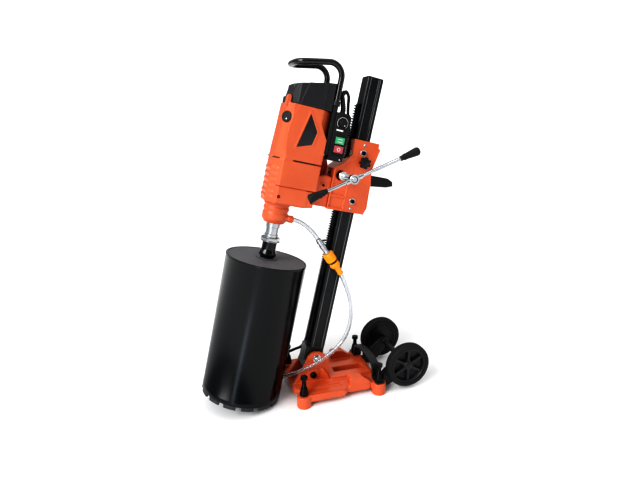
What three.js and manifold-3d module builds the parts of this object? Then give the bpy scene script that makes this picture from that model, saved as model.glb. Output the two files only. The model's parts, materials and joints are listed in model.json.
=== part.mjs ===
// Core drill rig: tilting column on a wheeled base, rack-fed carriage,
// electric motor, wet core bit. Millimetres, +Z up, +X towards the wheels.
import * as THREE from 'three';
import { mergeVertices } from 'three/addons/utils/BufferGeometryUtils.js';
import Module from 'manifold-3d';

const wasm = await Module();
wasm.setup();

// ---------------------------------------------------------------- dimensions
const GAP = 0.3; // clearance left between touching pieces
const TILT = THREE.MathUtils.degToRad(12.4); // column lean at rest
const COLUMN_X = -67.7; // where the column's rear face meets the floor
const MIDDLE = { x: 63.749, y: 15.941 }; // moves the footprint's middle to 0,0

const COLUMN_W = 50; // square column section
const COLUMN_WALL = 5;
const COLUMN_LOW = 150; // heights along the column, from the floor
const COLUMN_TOP = 1012;

const MODULE = 2.5; // rack and pinion
const PINION_TEETH = 14;
const PITCH_R = (MODULE * PINION_TEETH) / 2;
const PINION_N = 78; // pinion centre, ahead of the column's rear face
const PINION_S = 715; // pinion centre, along the column
const RACK_W = 20;

const BIT_N = 242.5; // bit and spindle axis, ahead of the rear face
const BIT_R = 125;
const BIT_LENGTH = 450;
const BIT_LOW = -25.8;
const BIT_WALL = 4.5;
const CROWN_NOTCHES = 14;

const MOTOR_N = 208; // motor shaft axis
const MOTOR_LOW = 652.4;
const MOTOR_TOP = 886;

const SCREW_X = 128; // levelling screws, from the base's middle
const SCREW_Y = 107.5;
const BOSS_R = 23;
const BOSS_TOP = 38.4;
const DECK_LOW = 19;
const DECK_TOP = 38;

const PIVOT_N = 23; // tilt bolt and clamp bolt on the column's line
const PIVOT_S = 59;
const CLAMP_S = 117;
const EAR_IN = 25.5;
const EAR_OUT = 38;

const WHEEL_X = 229.4;
const WHEEL_Z = 86;
const WHEEL_R = 75;
const WHEEL_IN = 94;
const WHEEL_OUT = 125;

const HUB_Y = -150; // feed handle, out on the near side
const HOSE_D = 13;
const CORD_D = 9;

// ----------------------------------------------------------------- materials
const paint = (color, roughness, metalness) => ({ color, roughness, metalness });
const ORANGE = paint('#f0552a', 0.38, 0.0);
const BLACK_PAINT = paint('#17181a', 0.35, 0.0);
const BLACK_PLASTIC = paint('#1d1d1f', 0.55, 0.0);
const RUBBER = paint('#1a1a1a', 0.85, 0.0);
const STEEL = paint('#a9abad', 0.32, 1.0);
const BLACK_STEEL = paint('#1b1b1d', 0.45, 0.8);
const CHROME = paint('#d8dadc', 0.12, 1.0);
const ALUMINIUM = paint('#8d8f92', 0.45, 1.0);
const NYLON = paint('#e6e2d6', 0.6, 0.0);
const COPPER = paint('#a65f3a', 0.4, 1.0);
const AMBER = paint('#f39a1c', 0.35, 0.0);
const CLEAR = paint('#d5d8da', 0.12, 0.0);
const GREEN = paint('#46b877', 0.4, 0.0);
const RED = paint('#cf4f57', 0.4, 0.0);

// ------------------------------------------------------------- solid helpers
function solid(geometry) {
  const raw = geometry.clone();
  raw.deleteAttribute('normal');
  raw.deleteAttribute('uv');
  const merged = mergeVertices(raw, 1e-4);
  const pos = merged.attributes.position.array;
  const all = merged.index.array;
  const tris = [];
  let volume = 0;
  for (let i = 0; i < all.length; i += 3) {
    const [a, b, c] = [all[i], all[i + 1], all[i + 2]];
    if (a === b || b === c || c === a) continue;
    tris.push(a, b, c);
    const va = new THREE.Vector3().fromArray(pos, 3 * a);
    const vb = new THREE.Vector3().fromArray(pos, 3 * b);
    const vc = new THREE.Vector3().fromArray(pos, 3 * c);
    volume += va.dot(vb.cross(vc));
  }
  if (volume < 0) tris.reverse();
  const mesh = new wasm.Mesh({
    numProp: 3,
    vertProperties: new Float32Array(pos),
    triVerts: new Uint32Array(tris),
  });
  return new wasm.Manifold(mesh);
}

const join = (first, ...rest) => rest.reduce((a, b) => a.add(b), first);
const cut = (first, ...rest) => rest.reduce((a, b) => a.subtract(b), first);

function extrude(points, depth, matrix) {
  const shape = new THREE.Shape(points.map(([u, v]) => new THREE.Vector2(u, v)));
  const options = { depth, bevelEnabled: false, steps: 1 };
  const geometry = new THREE.ExtrudeGeometry(shape, options);
  return solid(geometry.applyMatrix4(matrix));
}

const axes = (x, y, z) => new THREE.Matrix4().makeBasis(
  new THREE.Vector3(...x),
  new THREE.Vector3(...y),
  new THREE.Vector3(...z),
);

// A flat outline in two of the axes, pushed along the third.
function prismZ(points, z0, z1) {
  const m = axes([1, 0, 0], [0, 1, 0], [0, 0, 1]).setPosition(0, 0, z0);
  return extrude(points, z1 - z0, m);
}

function prismY(points, y0, y1) {
  const m = axes([1, 0, 0], [0, 0, 1], [0, -1, 0]).setPosition(0, y1, 0);
  return extrude(points, y1 - y0, m);
}

function prismX(points, x0, x1) {
  const m = axes([0, 1, 0], [0, 0, 1], [1, 0, 0]).setPosition(x0, 0, 0);
  return extrude(points, x1 - x0, m);
}

// Outlines on the column are given as (ahead of its rear face, along it).
const ahead = (points) => points.map(([n, s]) => [-n, s]);
const plate = (points, y0, y1) => prismY(ahead(points), y0, y1);
const block = (n0, n1, y0, y1, s0, s1) =>
  plate([[n0, s0], [n1, s0], [n1, s1], [n0, s1]], y0, y1);

function box(x0, x1, y0, y1, z0, z1) {
  return prismZ([[x0, y0], [x1, y0], [x1, y1], [x0, y1]], z0, z1);
}

// A profile of (radius, height) turned about an upright axis at x, y.
function turnZ(profile, x, y, sides) {
  const points = profile.map(([r, z]) => new THREE.Vector2(r, z));
  const geometry = new THREE.LatheGeometry(points, sides);
  geometry.rotateX(Math.PI / 2).translate(x, y, 0);
  return solid(geometry);
}

// The same about a cross axis (along Y) at x, z.
function turnY(profile, x, z, sides) {
  const points = profile.map(([r, y]) => new THREE.Vector2(r, y));
  const geometry = new THREE.LatheGeometry(points, sides);
  geometry.translate(x, 0, z);
  return solid(geometry);
}

const rodZ = (r, z0, z1, x, y, sides) =>
  turnZ([[0, z0], [r, z0], [r, z1], [0, z1]], x, y, sides);
const rodY = (r, y0, y1, x, z, sides) =>
  turnY([[0, y0], [r, y0], [r, y1], [0, y1]], x, z, sides);

function ringPoints(radius, count, turn = 0) {
  const points = [];
  for (let i = 0; i < count; i += 1) {
    const a = turn + (2 * Math.PI * i) / count;
    points.push([radius * Math.cos(a), radius * Math.sin(a)]);
  }
  return points;
}

// A polyline with rounded corners, as points on a smooth path.
function rounded(points, radii, perArc = 4) {
  const out = [new THREE.Vector3(...points[0])];
  for (let i = 1; i < points.length - 1; i += 1) {
    const here = new THREE.Vector3(...points[i]);
    const back = new THREE.Vector3(...points[i - 1]).sub(here).normalize();
    const on = new THREE.Vector3(...points[i + 1]).sub(here).normalize();
    const half = Math.acos(THREE.MathUtils.clamp(back.dot(on), -1, 1)) / 2;
    const reach = radii[i - 1] / Math.tan(half);
    const a = here.clone().addScaledVector(back, reach);
    const b = here.clone().addScaledVector(on, reach);
    const arc = new THREE.QuadraticBezierCurve3(a, here, b);
    out.push(...arc.getPoints(perArc));
  }
  out.push(new THREE.Vector3(...points[points.length - 1]));
  return out;
}

class Polyline extends THREE.Curve {
  constructor(points) {
    super();
    this.points = points;
  }

  getPoint(t, target = new THREE.Vector3()) {
    const f = t * (this.points.length - 1);
    const i = Math.min(Math.floor(f), this.points.length - 2);
    return target.lerpVectors(this.points[i], this.points[i + 1], f - i);
  }
}

function tube(curve, radius, sides, steps) {
  const ring = ringPoints(radius, sides).map(([u, v]) => new THREE.Vector2(u, v));
  const options = { steps, bevelEnabled: false, extrudePath: curve };
  return solid(new THREE.ExtrudeGeometry(new THREE.Shape(ring), options));
}

// ----------------------------------------------------------------- placement
const lean = new THREE.Matrix4().makeRotationY(TILT).setPosition(COLUMN_X, 0, 0);
const onColumn = ([n, s, y]) => new THREE.Vector3(-n, y, s).applyMatrix4(lean);
const meshes = [];

function put(name, body, look, matrix = null) {
  const data = body.getMesh();
  const geometry = new THREE.BufferGeometry();
  const position = new THREE.BufferAttribute(new Float32Array(data.vertProperties), 3);
  geometry.setAttribute('position', position);
  geometry.setIndex(new THREE.BufferAttribute(new Uint32Array(data.triVerts), 1));
  if (matrix) geometry.applyMatrix4(matrix);
  geometry.translate(MIDDLE.x, MIDDLE.y, 0);
  geometry.computeVertexNormals();
  const mesh = new THREE.Mesh(geometry, new THREE.MeshStandardMaterial(look));
  mesh.name = name;
  meshes.push(mesh);
}

const putOnColumn = (name, body, look) => put(name, body, look, lean);

// ---------------------------------------------------------------------- base
const pivot = onColumn([PIVOT_N, PIVOT_S, 0]);
const clamp = onColumn([PIVOT_N, CLAMP_S, 0]);

function baseCasting() {
  const edge = [
    [-150, -58], [-128, -84], [-135, -116], [-120, -122], [3, -122],
    [20, -108], [96, -108], [118, -100], [140, -84],
  ];
  const far = edge.map(([x, y]) => [x, -y]).reverse();
  let body = prismZ([...edge, ...far], DECK_LOW, DECK_TOP);
  for (const sx of [-1, 1]) {
    for (const sy of [-1, 1]) {
      body = body.add(rodZ(BOSS_R, 0, BOSS_TOP, sx * SCREW_X, sy * SCREW_Y, 16));
    }
  }
  body = body.add(box(-18, 126, -50, 50, DECK_TOP - 1, 46));
  const shoulder = [[26, 37], [26, 64], [34, 70], [70, 67], [104, 41], [104, 37]];
  const ear = [
    [-146, 37], [-112, 86], [-95, 127], [-84, 137], [-72, 141], [-52, 138],
    [-34, 126], [-24, 110], [-21, 98], [-21, 37],
  ];
  const rib = [[-58, 86], [-46, 86], [-18, 37], [-34, 37]];
  for (const side of [-1, 1]) {
    const y = (a, b) => [Math.min(side * a, side * b), Math.max(side * a, side * b)];
    body = body.add(prismY(shoulder, ...y(78, 106)));
    body = body.add(prismY(ear, ...y(EAR_IN, EAR_OUT)));
    body = body.add(prismY(rib, ...y(EAR_OUT - 1, 48)));
    const pocket = [[-92, 97], [-84, 77], [12, 68], [2, 92]];
    body = body.subtract(prismZ(pocket.map(([u, v]) => [u, side * v]), 32, 60));
    for (const sx of [-1, 1]) {
      body = body.subtract(rodZ(7.4, -5, 60, sx * SCREW_X, side * SCREW_Y, 10));
    }
  }
  const room = box(-156, -20.5, -EAR_IN, EAR_IN, 30, 60);
  const anchor = box(6, 112, -15, 15, -5, 60);
  const bolts = join(
    rodY(8.5, -60, 60, pivot.x, pivot.z, 10),
    rodY(6.5, -60, 60, clamp.x, clamp.z, 10),
  );
  return cut(body, room, anchor, bolts);
}

function levellingScrew(x, y) {
  const head = prismZ(ringPoints(12, 6).map(([u, v]) => [u + x, v + y]), 94, 104);
  const shank = turnZ([[0, 3], [3, 3], [6.9, 8], [6.9, 94.5], [0, 94.5]], x, y, 10);
  return head.add(shank);
}

function lockNut(x, y, low) {
  const profile = [
    [7.4, low], [13.5, low], [13.5, low + 9], [9.5, low + 27],
    [7.4, low + 27], [7.4, low],
  ];
  return turnZ(profile, x, y, 10);
}

// A steel strap bent over the rear of the base, held down by the rear nuts.
function carryHandle() {
  const low = BOSS_TOP + GAP;
  const outer = [
    [-124, low], [-124, low + 5], [-90, low + 5], [-86, low + 9], [-82, 74],
    [-72, 88], [-40, 96], [0, 98], [40, 96], [72, 88], [82, 74],
    [86, low + 9], [90, low + 5], [124, low + 5], [124, low],
  ];
  const inner = [
    [84, low], [79, low + 4], [76, 72], [68, 82], [38, 90], [0, 92],
    [-38, 90], [-68, 82], [-76, 72], [-79, low + 4], [-84, low],
  ];
  let strap = prismX([...outer, ...inner], 114, 142);
  for (const side of [-1, 1]) {
    strap = strap.subtract(rodZ(7.4, 30, 50, SCREW_X, side * SCREW_Y, 12));
  }
  return strap;
}

function throughBolt(at, r, head, sides) {
  const y = EAR_OUT + GAP;
  const washer = rodY(head + 5, -y - 2.5, -y, at.x, at.z, sides);
  const top = rodY(head, -y - 11, -y - 2, at.x, at.z, sides);
  const shank = rodY(r, -y - 1, y + 1, at.x, at.z, 10);
  const nut = rodY(head + 1, y, y + 9, at.x, at.z, 6);
  return join(washer, top, shank, nut);
}

function wheelFrame() {
  const arm = [
    [152, 9], [152, 48], [166, 62], [214, 101], [238, 101], [245, 84],
    [206, 28], [172, 9],
  ];
  const near = prismY(arm, -91, -66);
  const far = prismY(arm, 66, 91);
  const shoes = join(box(140.4, 153, -83, -66, 9, 36), box(140.4, 153, 66, 83, 9, 36));
  const rod = rodY(10, -91.5, 91.5, WHEEL_X, WHEEL_Z, 16);
  const ends = rodY(6, -123, 123, WHEEL_X, WHEEL_Z, 12);
  return join(near, far, shoes, rod, ends);
}

// side is -1 for the wheel nearest the feed handle and 1 for the other.
function wheelRim(side) {
  const x = WHEEL_X;
  const z = WHEEL_Z;
  const tread = turnY([
    [54, WHEEL_IN + 3], [59.8, WHEEL_IN + 3], [59.8, WHEEL_OUT - 3],
    [54, WHEEL_OUT - 3], [54, WHEEL_IN + 3],
  ], x, z, 24);
  const web = turnY([
    [6.4, 106], [56, 106], [56, 111], [6.4, 111], [6.4, 106],
  ], x, z, 24);
  const hub = turnY([
    [6.4, WHEEL_IN], [15, WHEEL_IN], [15, 121], [6.4, 121], [6.4, WHEEL_IN],
  ], x, z, 12);
  let rim = join(tread, web, hub);
  for (let i = 0; i < 6; i += 1) {
    const spoke = [[10, -2.5], [56, -2.5], [56, 2.5], [10, 2.5]];
    const turn = new THREE.Matrix4().makeRotationY((i * Math.PI) / 3);
    const geometry = new THREE.ExtrudeGeometry(
      new THREE.Shape(spoke.map(([u, v]) => new THREE.Vector2(u, v))),
      { depth: 17, bevelEnabled: false },
    );
    geometry.applyMatrix4(axes([1, 0, 0], [0, 0, 1], [0, -1, 0]));
    geometry.translate(0, 118, 0).applyMatrix4(turn).translate(x, 0, z);
    rim = rim.add(solid(geometry));
  }
  return side < 0 ? rim.mirror([0, 1, 0]) : rim;
}

function tyre(side) {
  const [a, b] = [side * WHEEL_IN, side * WHEEL_OUT];
  const profile = [
    [60.4, a], [71, a], [WHEEL_R, a + side * 5], [WHEEL_R, b - side * 5],
    [71, b], [60.4, b], [60.4, a],
  ];
  return turnY(profile, WHEEL_X, WHEEL_Z, 24);
}

function buildBase() {
  put('base_casting', baseCasting(), ORANGE);
  const corners = { front_near: [-1, -1], front_far: [-1, 1], rear_near: [1, -1], rear_far: [1, 1] };
  for (const [where, [sx, sy]] of Object.entries(corners)) {
    const [x, y] = [sx * SCREW_X, sy * SCREW_Y];
    put(`levelling_screw_${where}`, levellingScrew(x, y), BLACK_STEEL);
    const seat = BOSS_TOP + GAP + (sx > 0 ? 5 + GAP : 0);
    put(`lock_nut_${where}`, lockNut(x, y, seat), BLACK_STEEL);
  }
  put('carry_handle', carryHandle(), BLACK_PAINT);
  put('tilt_pivot_bolt', throughBolt(pivot, 8, 10, 14), BLACK_STEEL);
  put('tilt_clamp_bolt', throughBolt(clamp, 6, 9, 14), STEEL);
  put('wheel_frame', wheelFrame(), BLACK_PAINT);
  for (const [where, side] of [['near', -1], ['far', 1]]) {
    put(`wheel_rim_${where}`, wheelRim(side), BLACK_PLASTIC);
    put(`tyre_${where}`, tyre(side), RUBBER);
  }
}

// -------------------------------------------------------------------- column
function columnProfile() {
  const h = COLUMN_W / 2;
  const d = 1.5; // depth of the channels along three of the faces
  const outline = [
    [0, -h], [13, -h], [14, -h + d], [36, -h + d], [37, -h], [50, -h],
    [50, h], [37, h], [36, h - d], [14, h - d], [13, h], [0, h],
    [0, 12], [d, 11], [d, -11], [0, -12],
  ];
  const outside = prismZ(ahead(outline), COLUMN_LOW, COLUMN_TOP);
  const w = COLUMN_WALL;
  const bore = block(w, 50 - w, -h + w, h - w, COLUMN_LOW - 5, COLUMN_TOP + 5);
  return outside.subtract(bore);
}

// One steel block: spigot in the column, front pad, rounded lower end, and a
// curved slot that lets the clamp bolt pass while the column leans.
function columnFoot() {
  const low = [];
  for (let i = 0; i <= 10; i += 1) {
    const a = Math.PI + (Math.PI * i) / 10;
    low.push([PIVOT_N - 22 * Math.cos(a), PIVOT_S + 22 * Math.sin(a)]);
  }
  const side = [...low, [0.5, 75], [0.5, 149.7], [62, 149.7], [62, 82]];
  let foot = plate(side, -EAR_IN + GAP, EAR_IN - GAP);
  foot = foot.add(block(5.3, 44.7, -19.7, 19.7, 149, 205));
  foot = foot.subtract(rodY(8.5, -40, 40, -PIVOT_N, PIVOT_S, 10));
  const reach = CLAMP_S - PIVOT_S;
  const slot = [];
  const steps = 8;
  for (const [r, forward] of [[reach + 6.7, true], [reach - 6.7, false]]) {
    for (let i = 0; i <= steps; i += 1) {
      const f = forward ? i / steps : 1 - i / steps;
      const a = THREE.MathUtils.degToRad(-12.8 + f * 35.2);
      slot.push([PIVOT_N + r * Math.sin(a), PIVOT_S + r * Math.cos(a)]);
    }
  }
  foot = foot.subtract(plate(slot, -40, 40));
  for (const deg of [-12.8, 22.4]) {
    const a = THREE.MathUtils.degToRad(deg);
    const n = PIVOT_N + reach * Math.sin(a);
    foot = foot.subtract(rodY(6.7, -40, 40, -n, PIVOT_S + reach * Math.cos(a), 12));
  }
  return foot;
}

function gearRack() {
  const pitch = Math.PI * MODULE;
  const line = PINION_N - PITCH_R;
  const root = line - 1.25 * MODULE;
  const tip = line + MODULE - 0.15;
  const slope = Math.tan(THREE.MathUtils.degToRad(20));
  const half = (pitch / 4) * 0.96;
  const points = [[COLUMN_W + GAP, 158], [root, 158]];
  for (let k = -70; k <= 27; k += 1) {
    const s = PINION_S + k * pitch;
    const wide = half + (line - root) * slope;
    const thin = half - (tip - line) * slope;
    points.push([root, s - wide], [tip, s - thin], [tip, s + thin], [root, s + wide]);
  }
  points.push([root, 934], [COLUMN_W + GAP, 934]);
  return plate(points, -RACK_W / 2, RACK_W / 2);
}

function columnCap() {
  const top = block(1, 49, -24, 24, COLUMN_TOP + GAP, COLUMN_TOP + 4);
  return top.add(block(5.4, 44.6, -19.6, 19.6, COLUMN_TOP - 12, COLUMN_TOP + 1));
}

function buildColumn() {
  putOnColumn('column_profile', columnProfile(), BLACK_PAINT);
  putOnColumn('gear_rack', gearRack(), BLACK_STEEL);
  putOnColumn('column_foot', columnFoot(), ALUMINIUM);
  putOnColumn('column_cap', columnCap(), BLACK_PLASTIC);
}

// ------------------------------------------------------------------ carriage
const CARRIAGE_SIDE = [
  [58, 829], [-24, 829], [-24, 816], [-30, 813], [-17, 746], [-24, 704],
  [-29, 630], [-21, 609], [100, 609], [100, 731], [53, 779],
];

function carriageHousing() {
  let body = plate(CARRIAGE_SIDE, -45, 45);
  body = body.subtract(block(-4, 54, -29, 29, 600, 840));
  body = body.subtract(block(53, 64, -11.5, 11.5, 600, 840));
  body = body.subtract(rodY(21.5, -12.5, 12.5, -PINION_N, PINION_S, 20));
  body = body.subtract(rodY(15, -50, -12, -PINION_N, PINION_S, 16));
  body = body.subtract(rodY(9.5, 12, 36, -PINION_N, PINION_S, 12));
  for (const [n, s, r] of [[22, 792.6, 4.3], [24, 644.3, 4.3], [15.7, 765, 4.3]]) {
    body = body.subtract(rodY(r, -50, -32, -n, s, 8));
  }
  body = body.subtract(rodY(5.3, 32, 50, 5, 712, 12));
  for (const [low, high] of [[617, 648], [656, 692]]) {
    body = body.subtract(block(50, 96, -50, -42, low, high));
  }
  return body;
}

// A nylon C-shaped sleeve between the column and the housing.
function guideLiner() {
  const sleeve = block(-3.7, 53.7, -28.7, 28.7, 615, 823);
  const bore = block(-0.4, 50.4, -25.4, 25.4, 600, 840);
  const mouth = block(45, 60, -11.5, 11.5, 600, 840);
  return cut(sleeve, bore, mouth);
}

function motorMount() {
  const lower = plate([
    [100.4, 612], [100.4, 703], [118, 707], [147.6, 700], [147.6, 612],
  ], -38, 38);
  const cheek = plate([
    [104, 700], [104, 738], [112, 756], [122, 764], [134, 764], [134, 700],
  ], 18, 26);
  return lower.add(cheek);
}

function cheeseBolt(n, s) {
  const y = -45 - GAP;
  const washer = rodY(8.5, y - 2, y, -n, s, 14);
  const head = rodY(6.5, y - 8, y - 1, -n, s, 14);
  const shank = rodY(4, y - 1, -33, -n, s, 12);
  const hole = rodY(2.6, y - 12, y - 4, -n, s, 6);
  return cut(join(washer, head, shank), hole);
}

function starKnob() {
  const outline = [];
  const lobes = 7;
  for (let i = 0; i < lobes * 4; i += 1) {
    const a = (2 * Math.PI * i) / (lobes * 4);
    const r = [18, 17, 13.5, 17][i % 4];
    outline.push([-15.7 + r * Math.cos(a), 765 + r * Math.sin(a)]);
  }
  const knob = prismY(outline, -66, -52);
  const neck = rodY(8, -53, -45 - GAP, -15.7, 765, 14);
  const stud = rodY(4, -46, -33, -15.7, 765, 12);
  return join(knob, neck, stud);
}

function lockLever() {
  const grip = plate([
    [10, 722], [-20, 727], [-70, 730], [-125, 731], [-143, 723], [-147, 709],
    [-125, 701], [-70, 695], [-20, 699], [10, 702],
  ], 48, 70);
  const hub = rodY(14, 45 + GAP, 70, 5, 712, 16);
  const stud = rodY(5, 33, 46, 5, 712, 12);
  return join(grip, hub, stud);
}

function buildCarriage() {
  putOnColumn('carriage_housing', carriageHousing(), ORANGE);
  putOnColumn('guide_liner', guideLiner(), NYLON);
  putOnColumn('motor_mount', motorMount(), ORANGE);
  putOnColumn('carriage_bolt_upper', cheeseBolt(22, 792.6), STEEL);
  putOnColumn('carriage_bolt_lower', cheeseBolt(24, 644.3), STEEL);
  putOnColumn('star_knob', starKnob(), BLACK_PLASTIC);
  putOnColumn('lock_lever', lockLever(), BLACK_PLASTIC);
}

// ---------------------------------------------------------------- feed drive
function involutePinion() {
  const base = PITCH_R * Math.cos(THREE.MathUtils.degToRad(20));
  const inv = (r) => {
    const a = Math.acos(Math.min(1, base / r));
    return Math.tan(a) - a;
  };
  const half = (Math.PI / 2 / PINION_TEETH) * 0.88;
  const flank = [PITCH_R - 1.22 * MODULE, PITCH_R, 19.85].map((r) => {
    const a = half + inv(PITCH_R) - inv(Math.max(r, base));
    return [r, r < base ? a * 0.9 : a];
  });
  const points = [];
  for (let k = 0; k < PINION_TEETH; k += 1) {
    const mid = ((k + 0.5) * 2 * Math.PI) / PINION_TEETH;
    for (const [r, a] of flank) {
      points.push([r * Math.cos(mid - a), r * Math.sin(mid - a)]);
    }
    for (const [r, a] of [...flank].reverse()) {
      points.push([r * Math.cos(mid + a), r * Math.sin(mid + a)]);
    }
  }
  return points.map(([u, v]) => [u - PINION_N, v + PINION_S]);
}

function pinionShaft() {
  const gear = prismY(involutePinion(), -10, 10);
  const shaft = rodY(9, HUB_Y - 5, 34, -PINION_N, PINION_S, 12);
  const collar = rodY(13, -60, -50, -PINION_N, PINION_S, 14);
  return join(gear, shaft, collar);
}

const ARM = new THREE.Vector3(-0.837, 0, -0.547).normalize(); // short arm

function turnedAlong(profile, direction, sides) {
  const points = profile.map(([r, d]) => new THREE.Vector2(r, d));
  const geometry = new THREE.LatheGeometry(points, sides);
  const up = new THREE.Vector3(0, 1, 0);
  geometry.applyQuaternion(new THREE.Quaternion().setFromUnitVectors(up, direction));
  geometry.translate(-PINION_N, HUB_Y, PINION_S);
  return solid(geometry);
}

function feedBar() {
  const ring = rodY(14, HUB_Y - 8, HUB_Y + 8, -PINION_N, PINION_S, 16);
  const short = turnedAlong([[0, 11], [5, 11], [5, 130], [0, 130]], ARM, 10);
  const back = ARM.clone().negate();
  const long = turnedAlong([[0, 11], [5, 11], [5, 200], [0, 200]], back, 10);
  const bore = rodY(9.5, HUB_Y - 20, HUB_Y + 20, -PINION_N, PINION_S, 12);
  return cut(join(ring, short, long), bore);
}

function grip(direction, start, end) {
  const profile = [
    [5.3, start], [7, start], [12, end - 14], [12.4, end - 8], [9, end - 2],
    [0, end], [0, start + 50], [5.3, start + 50], [5.3, start],
  ];
  return turnedAlong(profile, direction, 12);
}

function buildFeed() {
  putOnColumn('pinion_shaft', pinionShaft(), STEEL);
  putOnColumn('feed_bar', feedBar(), CHROME);
  putOnColumn('grip_short', grip(ARM, 83, 141), BLACK_PLASTIC);
  putOnColumn('grip_long', grip(ARM.clone().negate(), 151, 214), BLACK_PLASTIC);
}

// --------------------------------------------------------------------- motor
const MOTOR_SECTION = [
  [148, -35], [175, -60], [262, -60], [288, -30],
  [288, 30], [262, 60], [175, 60], [148, 35],
];

function motorShell() {
  let shell = prismZ(ahead(MOTOR_SECTION), MOTOR_LOW, MOTOR_TOP);
  shell = shell.subtract(rodZ(49, 600, 900, -MOTOR_N, 0, 24));
  const taper = [[289, 700], [278.8, MOTOR_TOP + 1], [300, MOTOR_TOP + 1], [300, 700]];
  shell = shell.subtract(plate(taper, -70, 70));
  shell = shell.subtract(block(167, 236, -70, -46, 728, 732));
  shell = shell.subtract(block(167, 236, 46, 70, 728, 732));
  return shell;
}

function gearboxHousing() {
  const wide = MOTOR_SECTION.map(([n, y]) => [n > 200 ? n + 2 : n + 4, y]);
  let body = prismZ(ahead(wide), 600, MOTOR_LOW - GAP);
  const nose = turnZ([
    [0, 536], [30, 536], [37, 545], [37, 601], [0, 601],
  ], -BIT_N, 0, 24);
  const inlet = prismX(ringPoints(9, 12).map(([u, v]) => [u - 20, v + 556]), -222, -204);
  body = join(body, nose, inlet);
  const cavity = join(
    rodZ(29.5, 608, 700, -BIT_N, 0, 20),
    rodZ(26, 608, 700, -MOTOR_N, 0, 16),
  );
  const bore = rodZ(22.2, 530, 620, -BIT_N, 0, 20);
  return cut(body, cavity, bore);
}

function motorCap() {
  const section = MOTOR_SECTION.map(([n, y]) => [n > 250 ? n - 10 : n, y]);
  const low = MOTOR_TOP + GAP;
  const main = prismZ(ahead(section), low, 990);
  const rear = block(136, 150, -32, 32, 905.6, 990);
  const above = plate([[120, 974.5], [300, 932.5], [300, 1000], [120, 1000]], -70, 70);
  const front = [[271, 905], [262, 945], [300, 945], [300, 905]];
  const bore = rodZ(46, 880, 922, -MOTOR_N, 0, 20);
  return cut(join(main, rear), above, plate(front, -70, 70), bore);
}

function topHandle() {
  const arms = (n) => (1033 - n * Math.sin(TILT)) / Math.cos(TILT);
  const path = [
    [140, 905.3, -50], [140, arms(140), -50], [275, arms(275), -50],
    [275, arms(275), 50], [150, arms(150), 50], [150, 905.3, 50],
  ].map(([n, s, y]) => [-n, y, s]);
  const points = rounded(path, [36, 30, 30, 36]);
  return tube(new Polyline(points), 8.5, 8, 34);
}

function backPlate() {
  const body = block(134.6, 147.6, -58, 56, 765, 905);
  const lug = block(140, 154, 42, 56, 880, 905);
  return body.add(lug);
}

function switchBox() {
  let body = plate([
    [88, 768], [88, 882], [96, 890], [134.2, 890], [134.2, 752], [96, 752],
  ], -64, -20);
  body = body.subtract(block(96.7, 125.3, -70, -54, 801.7, 822.3));
  body = body.subtract(block(95.7, 124.3, -70, -54, 776.7, 797.3));
  return body.subtract(rodY(3.3, -70, -57, -113, 862, 12));
}

function brushCap() {
  const points = [[0, 0.3], [16, 0.3], [16, 2.6], [13, 4], [0, 4]];
  const profile = points.map(([r, d]) => new THREE.Vector2(r, d));
  const geometry = new THREE.LatheGeometry(profile, 14);
  const out = new THREE.Vector3(-0.756, -0.655, 0).normalize();
  const up = new THREE.Vector3(0, 1, 0);
  geometry.applyQuaternion(new THREE.Quaternion().setFromUnitVectors(up, out));
  geometry.translate(-274, -46.2, 846);
  return solid(geometry);
}

function speedDial() {
  const knob = rodY(12, -71, -64 - GAP, -113, 862, 16);
  return knob.add(rodY(3, -65, -58, -113, 862, 8));
}

function stator() {
  const ring = [[30, 700], [48, 700], [48, 800], [30, 800], [30, 700]];
  return turnZ(ring, -MOTOR_N, 0, 20);
}

function rotor() {
  const profile = [
    [0, 614], [7, 614], [7, 690], [28, 705], [28, 795], [8, 805], [8, 830],
    [20, 832], [20, 862], [8, 864], [8, 915], [0, 915],
  ];
  return turnZ(profile, -MOTOR_N, 0, 14);
}

function buildMotor() {
  putOnColumn('motor_shell', motorShell(), ORANGE);
  putOnColumn('gearbox_housing', gearboxHousing(), ORANGE);
  putOnColumn('motor_cap', motorCap(), BLACK_PLASTIC);
  putOnColumn('top_handle', topHandle(), BLACK_PAINT);
  putOnColumn('back_plate', backPlate(), BLACK_PLASTIC);
  putOnColumn('switch_box', switchBox(), BLACK_PLASTIC);
  putOnColumn('start_button', block(97, 125, -66.5, -57, 802, 822), GREEN);
  putOnColumn('stop_button', block(96, 124, -66.5, -57, 777, 797), RED);
  putOnColumn('speed_dial', speedDial(), BLACK_PLASTIC);
  putOnColumn('brush_cap', brushCap(), BLACK_PLASTIC);
  putOnColumn('stator', stator(), COPPER);
  putOnColumn('rotor', rotor(), STEEL);
}

// --------------------------------------------------------------- spindle, bit
function spindle() {
  const body = turnZ([
    [14.3, 491.3], [21.5, 491.3], [21.5, 535.6], [17, 535.6], [17, 640],
    [0, 640], [0, 504], [14.3, 504], [14.3, 491.3],
  ], -BIT_N, 0, 16);
  const flat = (y0, y1) => block(200, 290, y0, y1, 500, 522);
  return cut(body, flat(-30, -18), flat(18, 30));
}

function spindleGear() {
  const disc = [[17.3, 612], [26.6, 612], [26.6, 634], [17.3, 634], [17.3, 612]];
  return turnZ(disc, -BIT_N, 0, 20);
}

function spindleNut() {
  const hex = ringPoints(30, 6).map(([u, v]) => [u - BIT_N, v]);
  const flange = rodZ(30, 477, 480, -BIT_N, 0, 18);
  const body = prismZ(hex, 479, 491).add(flange);
  return body.subtract(rodZ(14.4, 470, 500, -BIT_N, 0, 12));
}

function bitAdapter() {
  const low = BIT_LOW + BIT_LENGTH + GAP;
  return turnZ([
    [0, low], [20.5, low], [20.5, 436], [27, 444], [27, 450], [22.5, 458],
    [22.5, 476.7], [13.8, 476.7], [13.8, 502], [0, 502],
  ], -BIT_N, 0, 18);
}

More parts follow.
